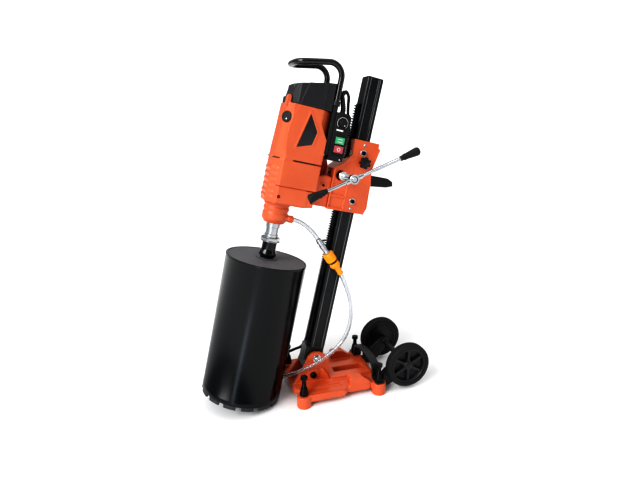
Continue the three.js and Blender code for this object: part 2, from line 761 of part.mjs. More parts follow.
function coreBarrel() {
  const top = BIT_LOW + BIT_LENGTH;
  const inner = BIT_R - BIT_WALL;
  let barrel = turnZ([
    [BIT_R, BIT_LOW], [BIT_R, top], [0, top], [0, top - 10], [inner, top - 10],
    [inner, BIT_LOW + 12], [inner - 1.6, BIT_LOW + 12], [inner - 1.6, BIT_LOW],
    [BIT_R, BIT_LOW],
  ], -BIT_N, 0, 40);
  for (let i = 0; i < CROWN_NOTCHES; i += 1) {
    const a = (2 * Math.PI * i) / CROWN_NOTCHES;
    const notch = [[100, -3.5], [140, -3.5], [140, 3.5], [100, 3.5]].map(([u, v]) => [
      u * Math.cos(a) - v * Math.sin(a) - BIT_N,
      u * Math.sin(a) + v * Math.cos(a),
    ]);
    barrel = barrel.subtract(prismZ(notch, BIT_LOW - 5, BIT_LOW + 8));
  }
  return barrel;
}

function buildSpindle() {
  putOnColumn('spindle', spindle(), STEEL);
  putOnColumn('spindle_gear', spindleGear(), STEEL);
  putOnColumn('spindle_nut', spindleNut(), CHROME);
  putOnColumn('bit_adapter', bitAdapter(), BLACK_STEEL);
  putOnColumn('core_barrel', coreBarrel(), BLACK_PAINT);
}

// --------------------------------------------------------------- water supply
function turnedBetween(profile, from, to, sides) {
  const points = profile.map(([r, d]) => new THREE.Vector2(r, d));
  const geometry = new THREE.LatheGeometry(points, sides);
  const up = new THREE.Vector3(0, 1, 0);
  const along = to.clone().sub(from).normalize();
  geometry.applyQuaternion(new THREE.Quaternion().setFromUnitVectors(up, along));
  geometry.translate(from.x, from.y, from.z);
  return solid(geometry);
}

const smooth = (points) => new THREE.CatmullRomCurve3(points, false, 'centripetal');

const VALVE_FROM = onColumn([110, 513, -52]);
const VALVE_TO = onColumn([14, 417, -60]);
const WATER_LINE = [
  [203.6, 556, -20], [190, 556, -20.5], [172, 554, -26], [150, 545, -37],
  [128, 530, -48.5], [111, 514, -51.9],
].map(onColumn);
const HOSE_ROUTE = [
  [7.3, -60.1, 409.2], [21, -63, 375], [34, -67, 335], [40, -69, 292],
  [36, -69, 240], [18, -67, 192], [-12, -65, 156], [-48, -63, 131],
  [-92, -56, 104], [-132, -38, 80], [-158, -8, 56], [-171, 28, 33],
  [-178, 62, 16], [-180, 98, 8.2], [-175.2, 134.2, 6.9], [-174.1, 164.2, 6.9],
  [-176.5, 192.1, 6.9],
].map((p) => new THREE.Vector3(...p));
const HOSE_COIL = [-262, 215];

function waterValve() {
  const body = turnedBetween([
    [0, 0], [10, 0], [10, 8], [8, 10], [8, 22], [10, 24], [10, 32], [8.5, 34],
    [8.5, 54], [0, 54],
  ], VALVE_FROM, VALVE_TO, 12);
  const at = onColumn([88, 500, -53]);
  const stem = box(at.x - 3, at.x + 3, at.y - 3, at.y + 3, at.z - 8, at.z + 12);
  const handle = box(at.x - 4, at.x + 14, at.y - 4, at.y + 4, at.z + 11, at.z + 16);
  return join(body, stem, handle);
}

function hoseConnector() {
  return turnedBetween([
    [0, 54.4], [17, 54.4], [17, 84], [11, 84], [11, 91], [15, 91], [15, 104],
    [9, 112], [9, 135], [0, 135],
  ], VALVE_FROM, VALVE_TO, 16);
}

function coilRing([x, y], across, thick, high) {
  const r = across / 2;
  const w = thick / 2;
  const profile = [
    [r - w, 0.2], [r + w, 0.2], [r + w, high], [r - w, high], [r - w, 0.2],
  ];
  return turnZ(profile, x, y, 20);
}

// The tap end of the hose lies flat on its coil.
function endCoupling() {
  const heading = THREE.MathUtils.degToRad(66);
  const from = new THREE.Vector3(HOSE_COIL[0] + 65, HOSE_COIL[1] - 37.5, 39.5);
  const along = new THREE.Vector3(Math.cos(heading), Math.sin(heading), 0);
  const to = from.clone().addScaledVector(along, 33);
  return turnedBetween([[0, 0], [9, 0], [12, 4], [12, 33], [0, 33]], from, to, 12);
}

function buildWater() {
  put('water_line', tube(smooth(WATER_LINE), HOSE_D / 2, 8, 12), CLEAR);
  put('water_valve', waterValve(), CHROME);
  put('hose_connector', hoseConnector(), AMBER);
  put('supply_hose', tube(smooth(HOSE_ROUTE), HOSE_D / 2, 8, 30), CLEAR);
  put('hose_coil', coilRing(HOSE_COIL, 150, 14, 27), CLEAR);
  put('hose_end_coupling', endCoupling(), AMBER);
}

// ----------------------------------------------------------------- mains lead
const RELIEF = [
  [113, 890.5, -42], [113, 902, -42], [119, 926, -39], [122, 942, -34],
  [114, 952, -27],
].map(onColumn);
const CORD_ROUTE = [
  ...[
    [112.6, 953.2, -26], [108, 955, -22.5], [92, 946, -6], [79, 922, 16],
    [66, 898, 36], [50, 866, 50], [38, 820, 55], [34, 720, 55], [34, 600, 55],
    [28, 480, 52], [24, 360, 50], [26, 260, 49], [34, 190, 48],
  ].map(onColumn),
  ...[
    [-92, 47, 128], [-118, 50, 117], [-146, 62, 101], [-160, 100, 66],
    [-163, 160, 22], [-160, 215, 6], [-158, 270, 4.9], [-157.5, 315, 4.9],
    [-161.2, 354.9, 4.9],
  ].map((p) => new THREE.Vector3(...p)),
];
const CORD_COIL = [-225, 372];

// The plug lies flat across the turns of its coil.
function plug() {
  const x = CORD_COIL[0] - 52;
  const y = CORD_COIL[1];
  const body = prismY(
    [[-19, 38], [19, 38], [19, 54], [13, 62], [-13, 62], [-19, 54]]
      .map(([u, v]) => [u + x, v]),
    y - 22,
    y + 22,
  );
  return body;
}

function buildLead() {
  put('strain_relief', tube(smooth(RELIEF), 7, 8, 10), RUBBER);
  put('mains_cord', tube(smooth(CORD_ROUTE), CORD_D / 2, 6, 56), RUBBER);
  put('cord_coil', coilRing(CORD_COIL, 104, 18, 37), RUBBER);
  put('mains_plug', plug(), RUBBER);
}

buildBase();
buildColumn();
buildCarriage();
buildFeed();
buildMotor();
buildSpindle();
buildWater();
buildLead();

const rig = new THREE.Group();
rig.name = 'core_drill_rig';
rig.add(...meshes);
export default rig;
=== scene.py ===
"""Core drill rig: a leaning toothed column on a wheeled base, a carriage with
its motor and bit, the water supply and the mains lead. Metres, +Z up."""
import json
import math
import bmesh
import bpy
from mathutils import Matrix, Vector


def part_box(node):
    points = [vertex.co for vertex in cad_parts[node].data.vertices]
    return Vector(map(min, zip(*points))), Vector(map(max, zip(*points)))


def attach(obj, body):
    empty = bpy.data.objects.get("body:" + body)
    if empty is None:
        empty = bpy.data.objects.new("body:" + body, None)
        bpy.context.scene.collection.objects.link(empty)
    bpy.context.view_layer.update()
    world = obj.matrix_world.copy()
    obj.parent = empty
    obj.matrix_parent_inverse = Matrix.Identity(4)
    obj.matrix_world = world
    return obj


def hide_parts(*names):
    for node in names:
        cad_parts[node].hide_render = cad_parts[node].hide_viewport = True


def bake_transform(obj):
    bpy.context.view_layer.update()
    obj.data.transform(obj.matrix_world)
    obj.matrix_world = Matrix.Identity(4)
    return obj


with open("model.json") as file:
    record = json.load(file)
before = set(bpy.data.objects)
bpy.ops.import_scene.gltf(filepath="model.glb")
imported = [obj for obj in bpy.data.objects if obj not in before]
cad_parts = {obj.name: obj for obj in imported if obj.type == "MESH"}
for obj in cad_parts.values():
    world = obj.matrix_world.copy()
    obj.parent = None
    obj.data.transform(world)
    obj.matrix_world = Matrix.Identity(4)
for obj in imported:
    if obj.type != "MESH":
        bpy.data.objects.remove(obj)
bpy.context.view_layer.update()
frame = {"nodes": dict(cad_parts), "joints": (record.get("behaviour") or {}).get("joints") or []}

scene = bpy.context.scene
scene.view_settings.view_transform = "Standard"
scene.view_settings.look = "Very High Contrast"
scene.view_settings.exposure = -0.25
MM = 0.001

# ------------------------------------------------------------------- camera
# A stills camera on a stand, a step and a half from the machine, a little above
# its middle and to its left, looking down by 14 degrees.
eye = bpy.data.cameras.new("stills_camera")
eye.sensor_width = 36
eye.lens = 26.13
camera = bpy.data.objects.new("stills_camera", eye)
camera.location = (-0.4085, -1.3420, 0.8694)
camera.rotation_euler = (math.radians(75.78), 0, math.radians(-17.59))
scene.collection.objects.link(camera)
scene.camera = camera

# ---------------------------------------------------------------- the column
# Everything above the base is set out on the leaning square column: n is the
# distance ahead of its rear face, s the distance along it from the floor and
# y across, all in millimetres, as a fitter would measure the machine.
joint = {j["name"]: j for j in frame["joints"]}
ALONG = Vector(joint["carriage_feed"]["axis"]).normalized()
AHEAD = Vector((-ALONG.z, 0, ALONG.x))
ACROSS = Vector((0, 1, 0))
TO_NEAR, UP = (0, -1, 0), (0, 0, 1)
PIVOT_N, PIVOT_S, CLAMP_S = 23, 59, 117
LEAN = math.radians(12.4)
tilt_bolt = Vector(joint["column_tilt"]["pos_m"])
COLUMN_FOOT = tilt_bolt - (AHEAD * PIVOT_N + ALONG * PIVOT_S) * MM


def on_column(n, s, y=0):
    return COLUMN_FOOT + (AHEAD * n + ALONG * s + ACROSS * y) * MM


# The base is set out from the middle of its four screws, on the floor.
SCREW_X, SCREW_Y = 128, 107.5
near_low, near_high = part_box("levelling_screw_front_near")
far_low, far_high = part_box("levelling_screw_rear_far")
BASE_MIDDLE = (near_low + near_high + far_low + far_high) / 4
BASE_MIDDLE.z = 0


def on_floor(x, y, z=0):
    return BASE_MIDDLE + Vector((x, y, z)) * MM


# ------------------------------------------------------- supply hose and lead
# A clear 13 mm PVC hose and a 9 mm rubber lead, both extruded. They hang from
# the machine, run over the base and lie in flat coils behind the bit, where
# the hose ends in a tap coupling and the lead in its plug.
def linear(code):
    """An sRGB colour such as "#f0552a" as linear RGBA."""
    parts = [int(code[i:i + 2], 16) / 255 for i in (1, 3, 5)]
    bent = [c / 12.92 if c < 0.04045 else ((c + 0.055) / 1.055) ** 2.4 for c in parts]
    return (*bent, 1.0)


def add(tree, kind, inputs=None, **settings):
    """One node with its settings, its values and its links."""
    made = tree.nodes.new(kind)
    for key, value in settings.items():
        setattr(made, key, value)
    for key, value in (inputs or {}).items():
        if isinstance(value, bpy.types.NodeSocket):
            tree.links.new(value, made.inputs[key])
        else:
            made.inputs[key].default_value = value
    return made


def finish(name, colour, second, roughness, grain, depth, patch=60, shader=None):
    """A surface with two close colours in patches, and a fine moulded, cast or
    sprayed grain. grain, depth and patch are in millimetres."""
    made = bpy.data.materials.new(name)
    made.use_nodes = True
    tree = made.node_tree
    tree.nodes.clear()
    place = add(tree, "ShaderNodeTexCoord").outputs["Object"]
    cloud = add(tree, "ShaderNodeTexNoise",
                {"Vector": place, "Scale": 1 / (patch * MM), "Detail": 4.0})
    blend = add(tree, "ShaderNodeMapRange",
                {"Value": cloud.outputs["Fac"], "From Min": 0.35, "From Max": 0.65})
    tone = add(tree, "ShaderNodeMix",
               {"Factor": blend.outputs["Result"]}, data_type="RGBA")
    tone.inputs[6].default_value = linear(colour)
    tone.inputs[7].default_value = linear(second)
    fine = add(tree, "ShaderNodeTexNoise",
               {"Vector": place, "Scale": 1 / (grain * MM), "Detail": 3.0})
    gloss = add(tree, "ShaderNodeMapRange",
                {"Value": cloud.outputs["Fac"], "From Min": 0.3, "From Max": 0.7,
                 "To Min": roughness * 0.85, "To Max": min(1.0, roughness * 1.2)})
    bump = add(tree, "ShaderNodeBump",
               {"Height": fine.outputs["Fac"], "Distance": depth * MM,
                "Strength": 0.6})
    body = add(tree, "ShaderNodeBsdfPrincipled",
               {"Base Color": tone.outputs[2], "Roughness": gloss.outputs["Result"],
                "Normal": bump.outputs["Normal"], **(shader or {})})
    out = add(tree, "ShaderNodeOutputMaterial", {"Surface": body.outputs["BSDF"]})
    out.name = "Output"
    return made


# Plasticised PVC, extruded: clear with a cool grey cast, slightly cloudy.
clear_pvc = finish("clear_pvc_hose", "#f1f2f4", "#e6e8ec", 0.07, 9.0, 0.01,
                   shader={"Transmission Weight": 0.92, "IOR": 1.45})
# Chloroprene rubber, extruded: dull black with a faint bloom.
lead_rubber = finish("chloroprene_lead", "#1c1c1d", "#262628", 0.62, 1.2, 0.05)


def smooth_path(points, per_step=8):
    """A centripetal Catmull-Rom line through the points."""
    pts = [Vector(p) for p in points]
    pts = [2 * pts[0] - pts[1], *pts, 2 * pts[-1] - pts[-2]]
    line = []
    for i in range(1, len(pts) - 2):
        a, b, c, d = pts[i - 1:i + 3]
        t0, t1, t2 = [(q - p).length ** 0.5 for p, q in ((a, b), (b, c), (c, d))]
        m1 = ((b - a) / t0 - (c - a) / (t0 + t1) + (c - b) / t1) * t1
        m2 = ((c - b) / t1 - (d - b) / (t1 + t2) + (d - c) / t2) * t1
        for k in range(per_step):
            t = k / per_step
            line.append(b + m1 * t + (3 * (c - b) - 2 * m1 - m2) * t ** 2
                        + (2 * (b - c) + m1 + m2) * t ** 3)
    line.append(pts[-2])
    return line


def coil_turns(centre, angle, entry, ease, slots, leave, width):
    """A coil's turns: one (radius, height) place after another, each left at
    its angle over a width of some degrees. Millimetres and degrees."""
    turns = []
    steps = int((leave[-1] + width[-1] - angle) / 6)
    for i in range(1, steps + 1):
        a = angle + (leave[-1] + width[-1] - angle) * i / steps
        radius, height = slots[0]
        left = max(0.0, 1 - (a - angle) / ease)
        radius += (entry - radius) * left ** 2
        for here, there, start, wide in zip(slots, slots[1:], leave, width):
            u = min(max((a - start) / wide, 0), 1)
            u = u * u * (3 - 2 * u)
            radius += (there[0] - here[0]) * u
            height += (there[1] - here[1]) * u
        turn = math.radians(a)
        turns.append(on_floor(centre[0] + radius * math.cos(turn),
                              centre[1] + radius * math.sin(turn), height))
    return turns


def sweep(bm, path, radius, sides=20, inner=None):
    """A round tube along a path. radius is a number or a function of how far
    along the path it is, from 0 to 1; inner makes it hollow."""
    radius_at = radius if callable(radius) else lambda t: radius
    turns = [2 * math.pi * k / sides for k in range(sides)]
    side = (path[1] - path[0]).orthogonal().normalized()
    runs = [0.0]
    for p, q in zip(path, path[1:]):
        runs.append(runs[-1] + (q - p).length)
    outside, inside = [], []
    for i, point in enumerate(path):
        back, on = path[max(i - 1, 0)], path[min(i + 1, len(path) - 1)]
        tangent = (on - back).normalized()
        side = (side - tangent * side.dot(tangent)).normalized()
        other = tangent.cross(side)
        r = radius_at(runs[i] / runs[-1])
        for rings, size in ((outside, r), (inside, inner)):
            if size is None:
                continue
            rings.append([bm.verts.new(
                point + (side * math.cos(a) + other * math.sin(a)) * size)
                for a in turns])
    walls = [(outside, False)] + ([(inside, True)] if inside else [])
    for rings, turned_in in walls:
        for low, high in zip(rings, rings[1:]):
            for k in range(sides):
                face = [low[k], low[k - 1], high[k - 1], high[k]]
                bm.faces.new(face[::-1] if not turned_in else face)
    if inside:
        for low, high, first in ((outside[0], inside[0], True),
                                 (outside[-1], inside[-1], False)):
            for k in range(sides):
                face = [low[k], low[k - 1], high[k - 1], high[k]]
                bm.faces.new(face if first else face[::-1])
    else:
        bm.faces.new(outside[0][::-1])
        bm.faces.new(outside[-1])
    bmesh.ops.recalc_face_normals(bm, faces=bm.faces)
    return runs[-1]


def piece(name, bm, material, body=None, stands_for=(), shade=35):
    """A finished mesh object: material, shading, and the body it moves with."""
    mesh = bpy.data.meshes.new(name)
    bm.to_mesh(mesh)
    bm.free()
    mesh.materials.append(material)
    mesh.shade_smooth()
    if shade is not None:
        mesh.set_sharp_from_angle(angle=math.radians(shade))
    made = bpy.data.objects.new(name, mesh)
    scene.collection.objects.link(made)
    if body:
        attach(made, body)
    if stands_for:
        nodes = [stands_for] if isinstance(stands_for, str) else stands_for
        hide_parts(*nodes)
    return made


HOSE_D, CORD_D = 13, 9
HOSE_COIL, CORD_COIL = (-262, 215), (-225, 372)
hose_route = smooth_path([on_floor(*p) for p in (
    (7.3, -60.1, 409.2), (21, -63, 375), (34, -67, 335), (40, -69, 292),
    (36, -69, 240), (18, -67, 192), (-12, -65, 156), (-48, -63, 131),
    (-92, -56, 104), (-132, -38, 80), (-158, -8, 56), (-171, 28, 33),
    (-178, 62, 16), (-180, 98, 8.2), (-175.2, 134.2, 6.9), (-174.1, 164.2, 6.9),
    (-176.5, 192.1, 6.9))])
hose_route += coil_turns(HOSE_COIL, -15, 88.5, 45,
                         [(75, 6.9), (75, 20.3), (75, 39.5)], [270, 600], [75, 90])
cord_route = smooth_path(
    [on_column(*p) for p in (
        (112.6, 953.2, -26), (108, 955, -22.5), (92, 946, -6), (79, 922, 16),
        (66, 898, 36), (50, 866, 50), (38, 820, 55), (34, 720, 55),
        (34, 600, 55), (28, 480, 52), (24, 360, 50), (26, 260, 49),
        (34, 190, 48))]
    + [on_floor(*p) for p in (
        (-92, 47, 128), (-118, 50, 117), (-146, 62, 101), (-160, 100, 66),
        (-163, 160, 22), (-160, 215, 6), (-158, 270, 4.9), (-157.5, 315, 4.9),
        (-161.2, 354.9, 4.9))])
LAYER = CORD_D + 0.05
cord_slots = [(r, 4.9 + LAYER * k) for k, pair in
              enumerate(((56.5, 47.5), (47.5, 56.5), (56.5, 47.5), (47.5, 56.5)))
              for r in pair] + [(56.5, 50)]
cord_route += coil_turns(CORD_COIL, -15, 66, 42, cord_slots,
                         [265 + 280 * k for k in range(7)] + [2237], [80] * 8)



def clear_hose(route):
    """A 13 mm hose with its 9 mm bore, and how long it is."""
    bm = bmesh.new()
    return bm, sweep(bm, route, HOSE_D / 2 * MM, 20, HOSE_D * 0.34 * MM)


hose_mesh, hose_length = clear_hose(hose_route)
supply_hose = piece("supply_hose_tube", hose_mesh, clear_pvc,
                    stands_for=("supply_hose", "hose_coil"))
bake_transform(supply_hose)
cord_mesh = bmesh.new()
cord_length = sweep(cord_mesh, cord_route, CORD_D / 2 * MM, 14)
mains_cord = piece("mains_lead", cord_mesh, lead_rubber,
                   stands_for=("mains_cord", "cord_coil"))
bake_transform(mains_cord)

# ------------------------------------------------------ studio, not the object
# A wide pale floor and a white backdrop that only the camera sees, so that it
# doesn't light the machine; two far, wide diffusers and three softboxes do.
floor_mesh = bmesh.new()
bmesh.ops.create_grid(floor_mesh, x_segments=1, y_segments=1, size=30)
studio_floor = piece("studio_floor", floor_mesh,
                     finish("matt_floor_paint", "#fbfbfb", "#fafafa", 0.8, 30, 0.01))
sky = bpy.data.worlds.new("studio_walls")
sky.use_nodes = True
walls = sky.node_tree
walls.nodes["Background"].inputs["Color"].default_value = linear("#f6f8fa")
walls.nodes["Background"].inputs["Strength"].default_value = 0.22
backdrop = add(walls, "ShaderNodeBackground", {"Color": (1, 1, 1, 1), "Strength": 1.0})
seen = add(walls, "ShaderNodeLightPath")
add(walls, "ShaderNodeMixShader",
    {0: seen.outputs["Is Camera Ray"], 1: walls.nodes["Background"].outputs[0],
     2: backdrop.outputs[0]}).name = "white_backdrop"
walls.links.new(walls.nodes["white_backdrop"].outputs[0],
                walls.nodes["World Output"].inputs["Surface"])
scene.world = sky


def lamp(name, kind, place, aim, strength, **settings):
    """A softbox (AREA) or a far, wide diffuser (SUN), pointed at a spot."""
    data = bpy.data.lights.new(name, kind)
    data.energy = strength
    for key, value in settings.items():
        setattr(data, key, value)
    made = bpy.data.objects.new(name, data)
    made.location = place
    toward = Vector(aim) - Vector(place)
    made.rotation_euler = toward.to_track_quat("-Z", "Y").to_euler()
    made.visible_camera = False
    scene.collection.objects.link(made)


lamp("front_diffuser", "SUN", (-2.6, -1.5, 2.1), (0, 0, 0.3), 1.9,
     angle=math.radians(35))
lamp("ceiling_diffuser", "SUN", (0.1, 0.5, 3), (0, 0, 0), 1.3,
     angle=math.radians(120))
lamp("key_softbox", "AREA", (-2.0, -1.7, 1.5), (0, 0, 0.5), 12, shape="RECTANGLE",
     size=0.7, size_y=1.9)
lamp("fill_softbox", "AREA", (2.3, -1.2, 1.4), (0, 0, 0.5), 6, shape="RECTANGLE",
     size=0.9, size_y=1.8)
lamp("strip_softbox", "AREA", (-0.67, -0.78, 0.25), (-0.17, 0, 0.35), 0.7,
     shape="RECTANGLE", size=0.1, size_y=0.75, color=(0.72, 0.85, 1.0))

# ------------------------------------------------------------ base casting
# One aluminium sand casting in orange baked enamel. Four round bosses take
# the levelling screws; two ears hold the column. Cast edges are well rounded.
orange_enamel = finish("orange_baked_enamel", "#d0643d", "#cb603a", 0.32, 2.2, 0.05,
                       shader={"Coat Weight": 0.1, "Coat Roughness": 0.15})


def solid_of(*nodes):
    """The merged shape of some CAD nodes, ready to be added to."""
    bm = bmesh.new()
    for name in nodes:
        bm.from_mesh(frame["nodes"][name].data)
    bmesh.ops.remove_doubles(bm, verts=bm.verts, dist=0.00002)
    return bm


def prism(bm, outline, low, high, place):
    """An outline pushed from low to high; place turns (u, v, w) into a point."""
    bottom = [bm.verts.new(place(u, v, low)) for u, v in outline]
    top = [bm.verts.new(place(u, v, high)) for u, v in outline]
    faces = [bm.faces.new(bottom), bm.faces.new(top)]
    for i in range(len(outline)):
        faces.append(bm.faces.new([bottom[i - 1], bottom[i], top[i], top[i - 1]]))
    bmesh.ops.recalc_face_normals(bm, faces=faces)


def block(bm, n0, n1, y0, y1, s0, s1, place=on_column):
    prism(bm, [(n0, s0), (n1, s0), (n1, s1), (n0, s1)], y0, y1, place)


def box(bm, x0, x1, y0, y1, z0, z1):
    prism(bm, [(x0, y0), (x1, y0), (x1, y1), (x0, y1)], z0, z1, on_floor)


def turned(bm, profile, centre, axis, sides=48):
    """A profile of (radius, distance along the axis) in millimetres, turned
    about the axis through the centre. It closes on the axis or on itself."""
    axis = Vector(axis).normalized()
    side = axis.orthogonal().normalized()
    other = axis.cross(side)
    turns = [2 * math.pi * k / sides for k in range(sides)]
    rings = []
    for r, d in profile:
        middle = Vector(centre) + axis * d * MM
        if r < 1e-6:
            rings.append([bm.verts.new(middle)])
            continue
        rings.append([bm.verts.new(
            middle + (side * math.cos(a) + other * math.sin(a)) * r * MM)
            for a in turns])
    faces = []
    pairs = list(zip(rings, rings[1:]))
    if len(rings[0]) > 1 and len(rings[-1]) > 1:
        pairs.append((rings[-1], rings[0]))
    for low, high in pairs:
        for k in range(sides):
            ring = [low[k % len(low)], low[k - 1 if len(low) > 1 else 0],
                    high[k - 1 if len(high) > 1 else 0], high[k % len(high)]]
            kept = list(dict.fromkeys(ring))
            if len(kept) > 2:
                faces.append(bm.faces.new(kept))
    bmesh.ops.recalc_face_normals(bm, faces=faces)


def rod(bm, r, start, end, sides=32, edge=0.8):
    """A round bar between two points, its ends lightly chamfered."""
    long = (end - start).length / MM
    turned(bm, [(0, 0), (r - edge, 0), (r, edge), (r, long - edge), (r - edge, long),
                (0, long)], start, end - start, sides)


def cast(name, bm, voxel, soften=3):
    """Fuses overlapping solids into one cast skin with rounded edges and
    filleted corners. voxel is in millimetres."""
    mesh = bpy.data.meshes.new(name)
    bm.to_mesh(mesh)
    bm.free()
    rough = bpy.data.objects.new(name, mesh)
    scene.collection.objects.link(rough)
    fuse = rough.modifiers.new("skin", "REMESH")
    fuse.mode, fuse.voxel_size = "VOXEL", voxel * MM
    soft = rough.modifiers.new("soften", "SMOOTH")
    soft.factor, soft.iterations = 0.5, soften
    shaped = bpy.data.meshes.new_from_object(
        rough.evaluated_get(bpy.context.evaluated_depsgraph_get()))
    bpy.data.objects.remove(rough)
    done = bmesh.new()
    done.from_mesh(shaped)
    bpy.data.meshes.remove(shaped)
    return done


base = solid_of("base_casting")
for x in (-SCREW_X, SCREW_X):
    for y in (-SCREW_Y, SCREW_Y):
        turned(base, [(7.6, 0), (23.2, 0), (23.2, 36.5), (21, 38.6), (7.6, 38.6)],
               on_floor(x, y), UP)
for side in (-1, 1):
    # rounded skirt between the bosses, and a low rim along the deck's edge
    box(base, -112, 4, side * 119 - 3, side * 119 + 3, 17, 41)
    box(base, 24, 96, side * 105 - 3, side * 105 + 3, 17, 41)
    turned(base, [(9, 0), (19, 0), (19, 3.5), (9, 3.5)],
           on_column(PIVOT_N, PIVOT_S, side * 37.5), (0, side, 0))
    turned(base, [(7.2, 0), (17, 0), (17, 3), (7.2, 3)],
           on_column(PIVOT_N, CLAMP_S, side * 37.5), (0, side, 0))
piece("base_casting_skin", cast("base", base, 2.0, 4), orange_enamel, "base",
      "base_casting", None)

# --------------------------------------------- levelling screws, nuts, strap
# Black phosphated steel: four turned screws with hexagon heads, each with a
# conical lock nut, and a pressed strap handle under the two rear nuts.
black_phosphate = finish("black_phosphated_steel", "#232426", "#1b1c1e", 0.36, 0.9,
                         0.04, shader={"Metallic": 0.55})
black_powder = finish("black_powder_coat", "#1d1d1f", "#242426", 0.4, 1.1, 0.09)
hexagon = [(math.cos(math.radians(60 * k)), math.sin(math.radians(60 * k)))
           for k in range(6)]


def rounded_edges(bm, width, angle=40, segments=2):
    """Rounds the sharp edges of a simple shape. Width in millimetres."""
    sharp = [e for e in bm.edges if len(e.link_faces) == 2
             and e.calc_face_angle(0) > math.radians(angle)]
    bmesh.ops.bevel(bm, geom=sharp, offset=width * MM, segments=segments,
                    profile=0.7, affect="EDGES", clamp_overlap=True)
    return bm


def thread_profile(r, low, high, pitch=2.4, deep=0.8):
    teeth = []
    for k in range(int((high - low) / pitch)):
        teeth += [(r - deep, low + pitch * k), (r, low + pitch * (k + 0.5))]
    return teeth


CORNERS = {"front_near": (-1, -1), "front_far": (-1, 1),
           "rear_near": (1, -1), "rear_far": (1, 1)}
for corner, (sx, sy) in CORNERS.items():
    x, y = sx * SCREW_X, sy * SCREW_Y
    screw = bmesh.new()
    prism(screw, [(11.6 * u + x, 11.6 * v + y) for u, v in hexagon], 94, 103.6,
          on_floor)
    rounded_edges(screw, 1.0)
    turned(screw, [(0, 3.2), (3, 3.2), *thread_profile(6.9, 8, 80), (6.4, 82),
                   (6.4, 93), (8.6, 93.5), (8.6, 94.6), (0, 94.6)],
           on_floor(x, y), UP, 24)
    turned(screw, [(0, 103.2), (7.5, 103.2), (6.5, 104), (0, 104)],
           on_floor(x, y), UP, 24)
    piece(f"screw_{corner}", screw, black_phosphate, f"levelling_screw_{corner}",
          f"levelling_screw_{corner}")
    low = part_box(f"lock_nut_{corner}")[0].z / MM
    nut = bmesh.new()
    turned(nut, [(7.4, low), (12.6, low), (13.5, low + 1), (13.5, low + 8),
                 (12.8, low + 10), (9.8, low + 25.5), (9.0, low + 27),
                 (7.4, low + 27)], on_floor(x, y), UP, 40)
    piece(f"nut_{corner}", nut, black_phosphate, "base", f"lock_nut_{corner}")

piece("strap_handle", cast("strap", solid_of("carry_handle"), 1.3, 3), black_powder,
      "base", "carry_handle", None)

# ------------------------------------------------------ tilt and clamp bolts
# Socket-headed steel bolts through both ears, on washers: the lower one is
# the hinge, blackened; the upper one clamps the lean and is zinc plated.
zinc_plate = finish("bright_zinc_plate", "#c9cbcd", "#b9bcbf", 0.24, 1.4, 0.02,
                    shader={"Metallic": 1.0})


def socket_bolt(bm, centre, axis, r, high, key, washer=0.0):
    """A cap screw's head with its socket, standing on a washer if it has one."""
    if washer:
        turned(bm, [(0, 0), (washer - 0.5, 0), (washer, 0.5), (washer, 1.8),
                    (washer - 0.5, 2.3), (0, 2.3)], centre, axis, 40)
    start = 2.2 if washer else 0.0
    turned(bm, [(0, start), (r, start), (r, high - 1), (r - 1, high), (key, high),
                (key * 0.96, high - 3.5), (0, high - 3.6)], centre, axis, 40)


for node_name, s, metal, slot, r in (
        ("tilt_pivot_bolt", PIVOT_S, black_phosphate, "black_steel", 9.6),
        ("tilt_clamp_bolt", CLAMP_S, zinc_plate, "machined_steel", 8.8)):
    bolt = bmesh.new()
    socket_bolt(bolt, on_column(PIVOT_N, s, -38.3), TO_NEAR, r, 10.8, 5, r + 5)
    socket_bolt(bolt, on_column(PIVOT_N, s, 38.3), (0, 1, 0), r, 8.5, 4, r + 5)
    rod(bolt, 6, on_column(PIVOT_N, s, -38), on_column(PIVOT_N, s, 38))
    piece(node_name + "_head", bolt, metal, "base", node_name)

# ------------------------------------------------------------- wheel bracket
# Welded steel bracket with a solid axle, black powder coat.
bracket = cast("bracket", solid_of("wheel_frame"), 1.7, 3)
piece("wheel_bracket", bracket, black_powder, "base", "wheel_frame",
      None)

# -------------------------------------------------------------------- wheels
# Injection-moulded polypropylene rims with six deep spokes and a snapped-in
# hub cap; solid rubber tyres with two grooves.
rim_plastic = finish("moulded_polypropylene", "#1f1f21", "#252527", 0.46, 0.8, 0.06)
tyre_rubber = finish("solid_rubber_tyre", "#1a1a1b", "#212122", 0.72, 0.7, 0.1)
WHEEL_X, WHEEL_Z = 229.4, 86


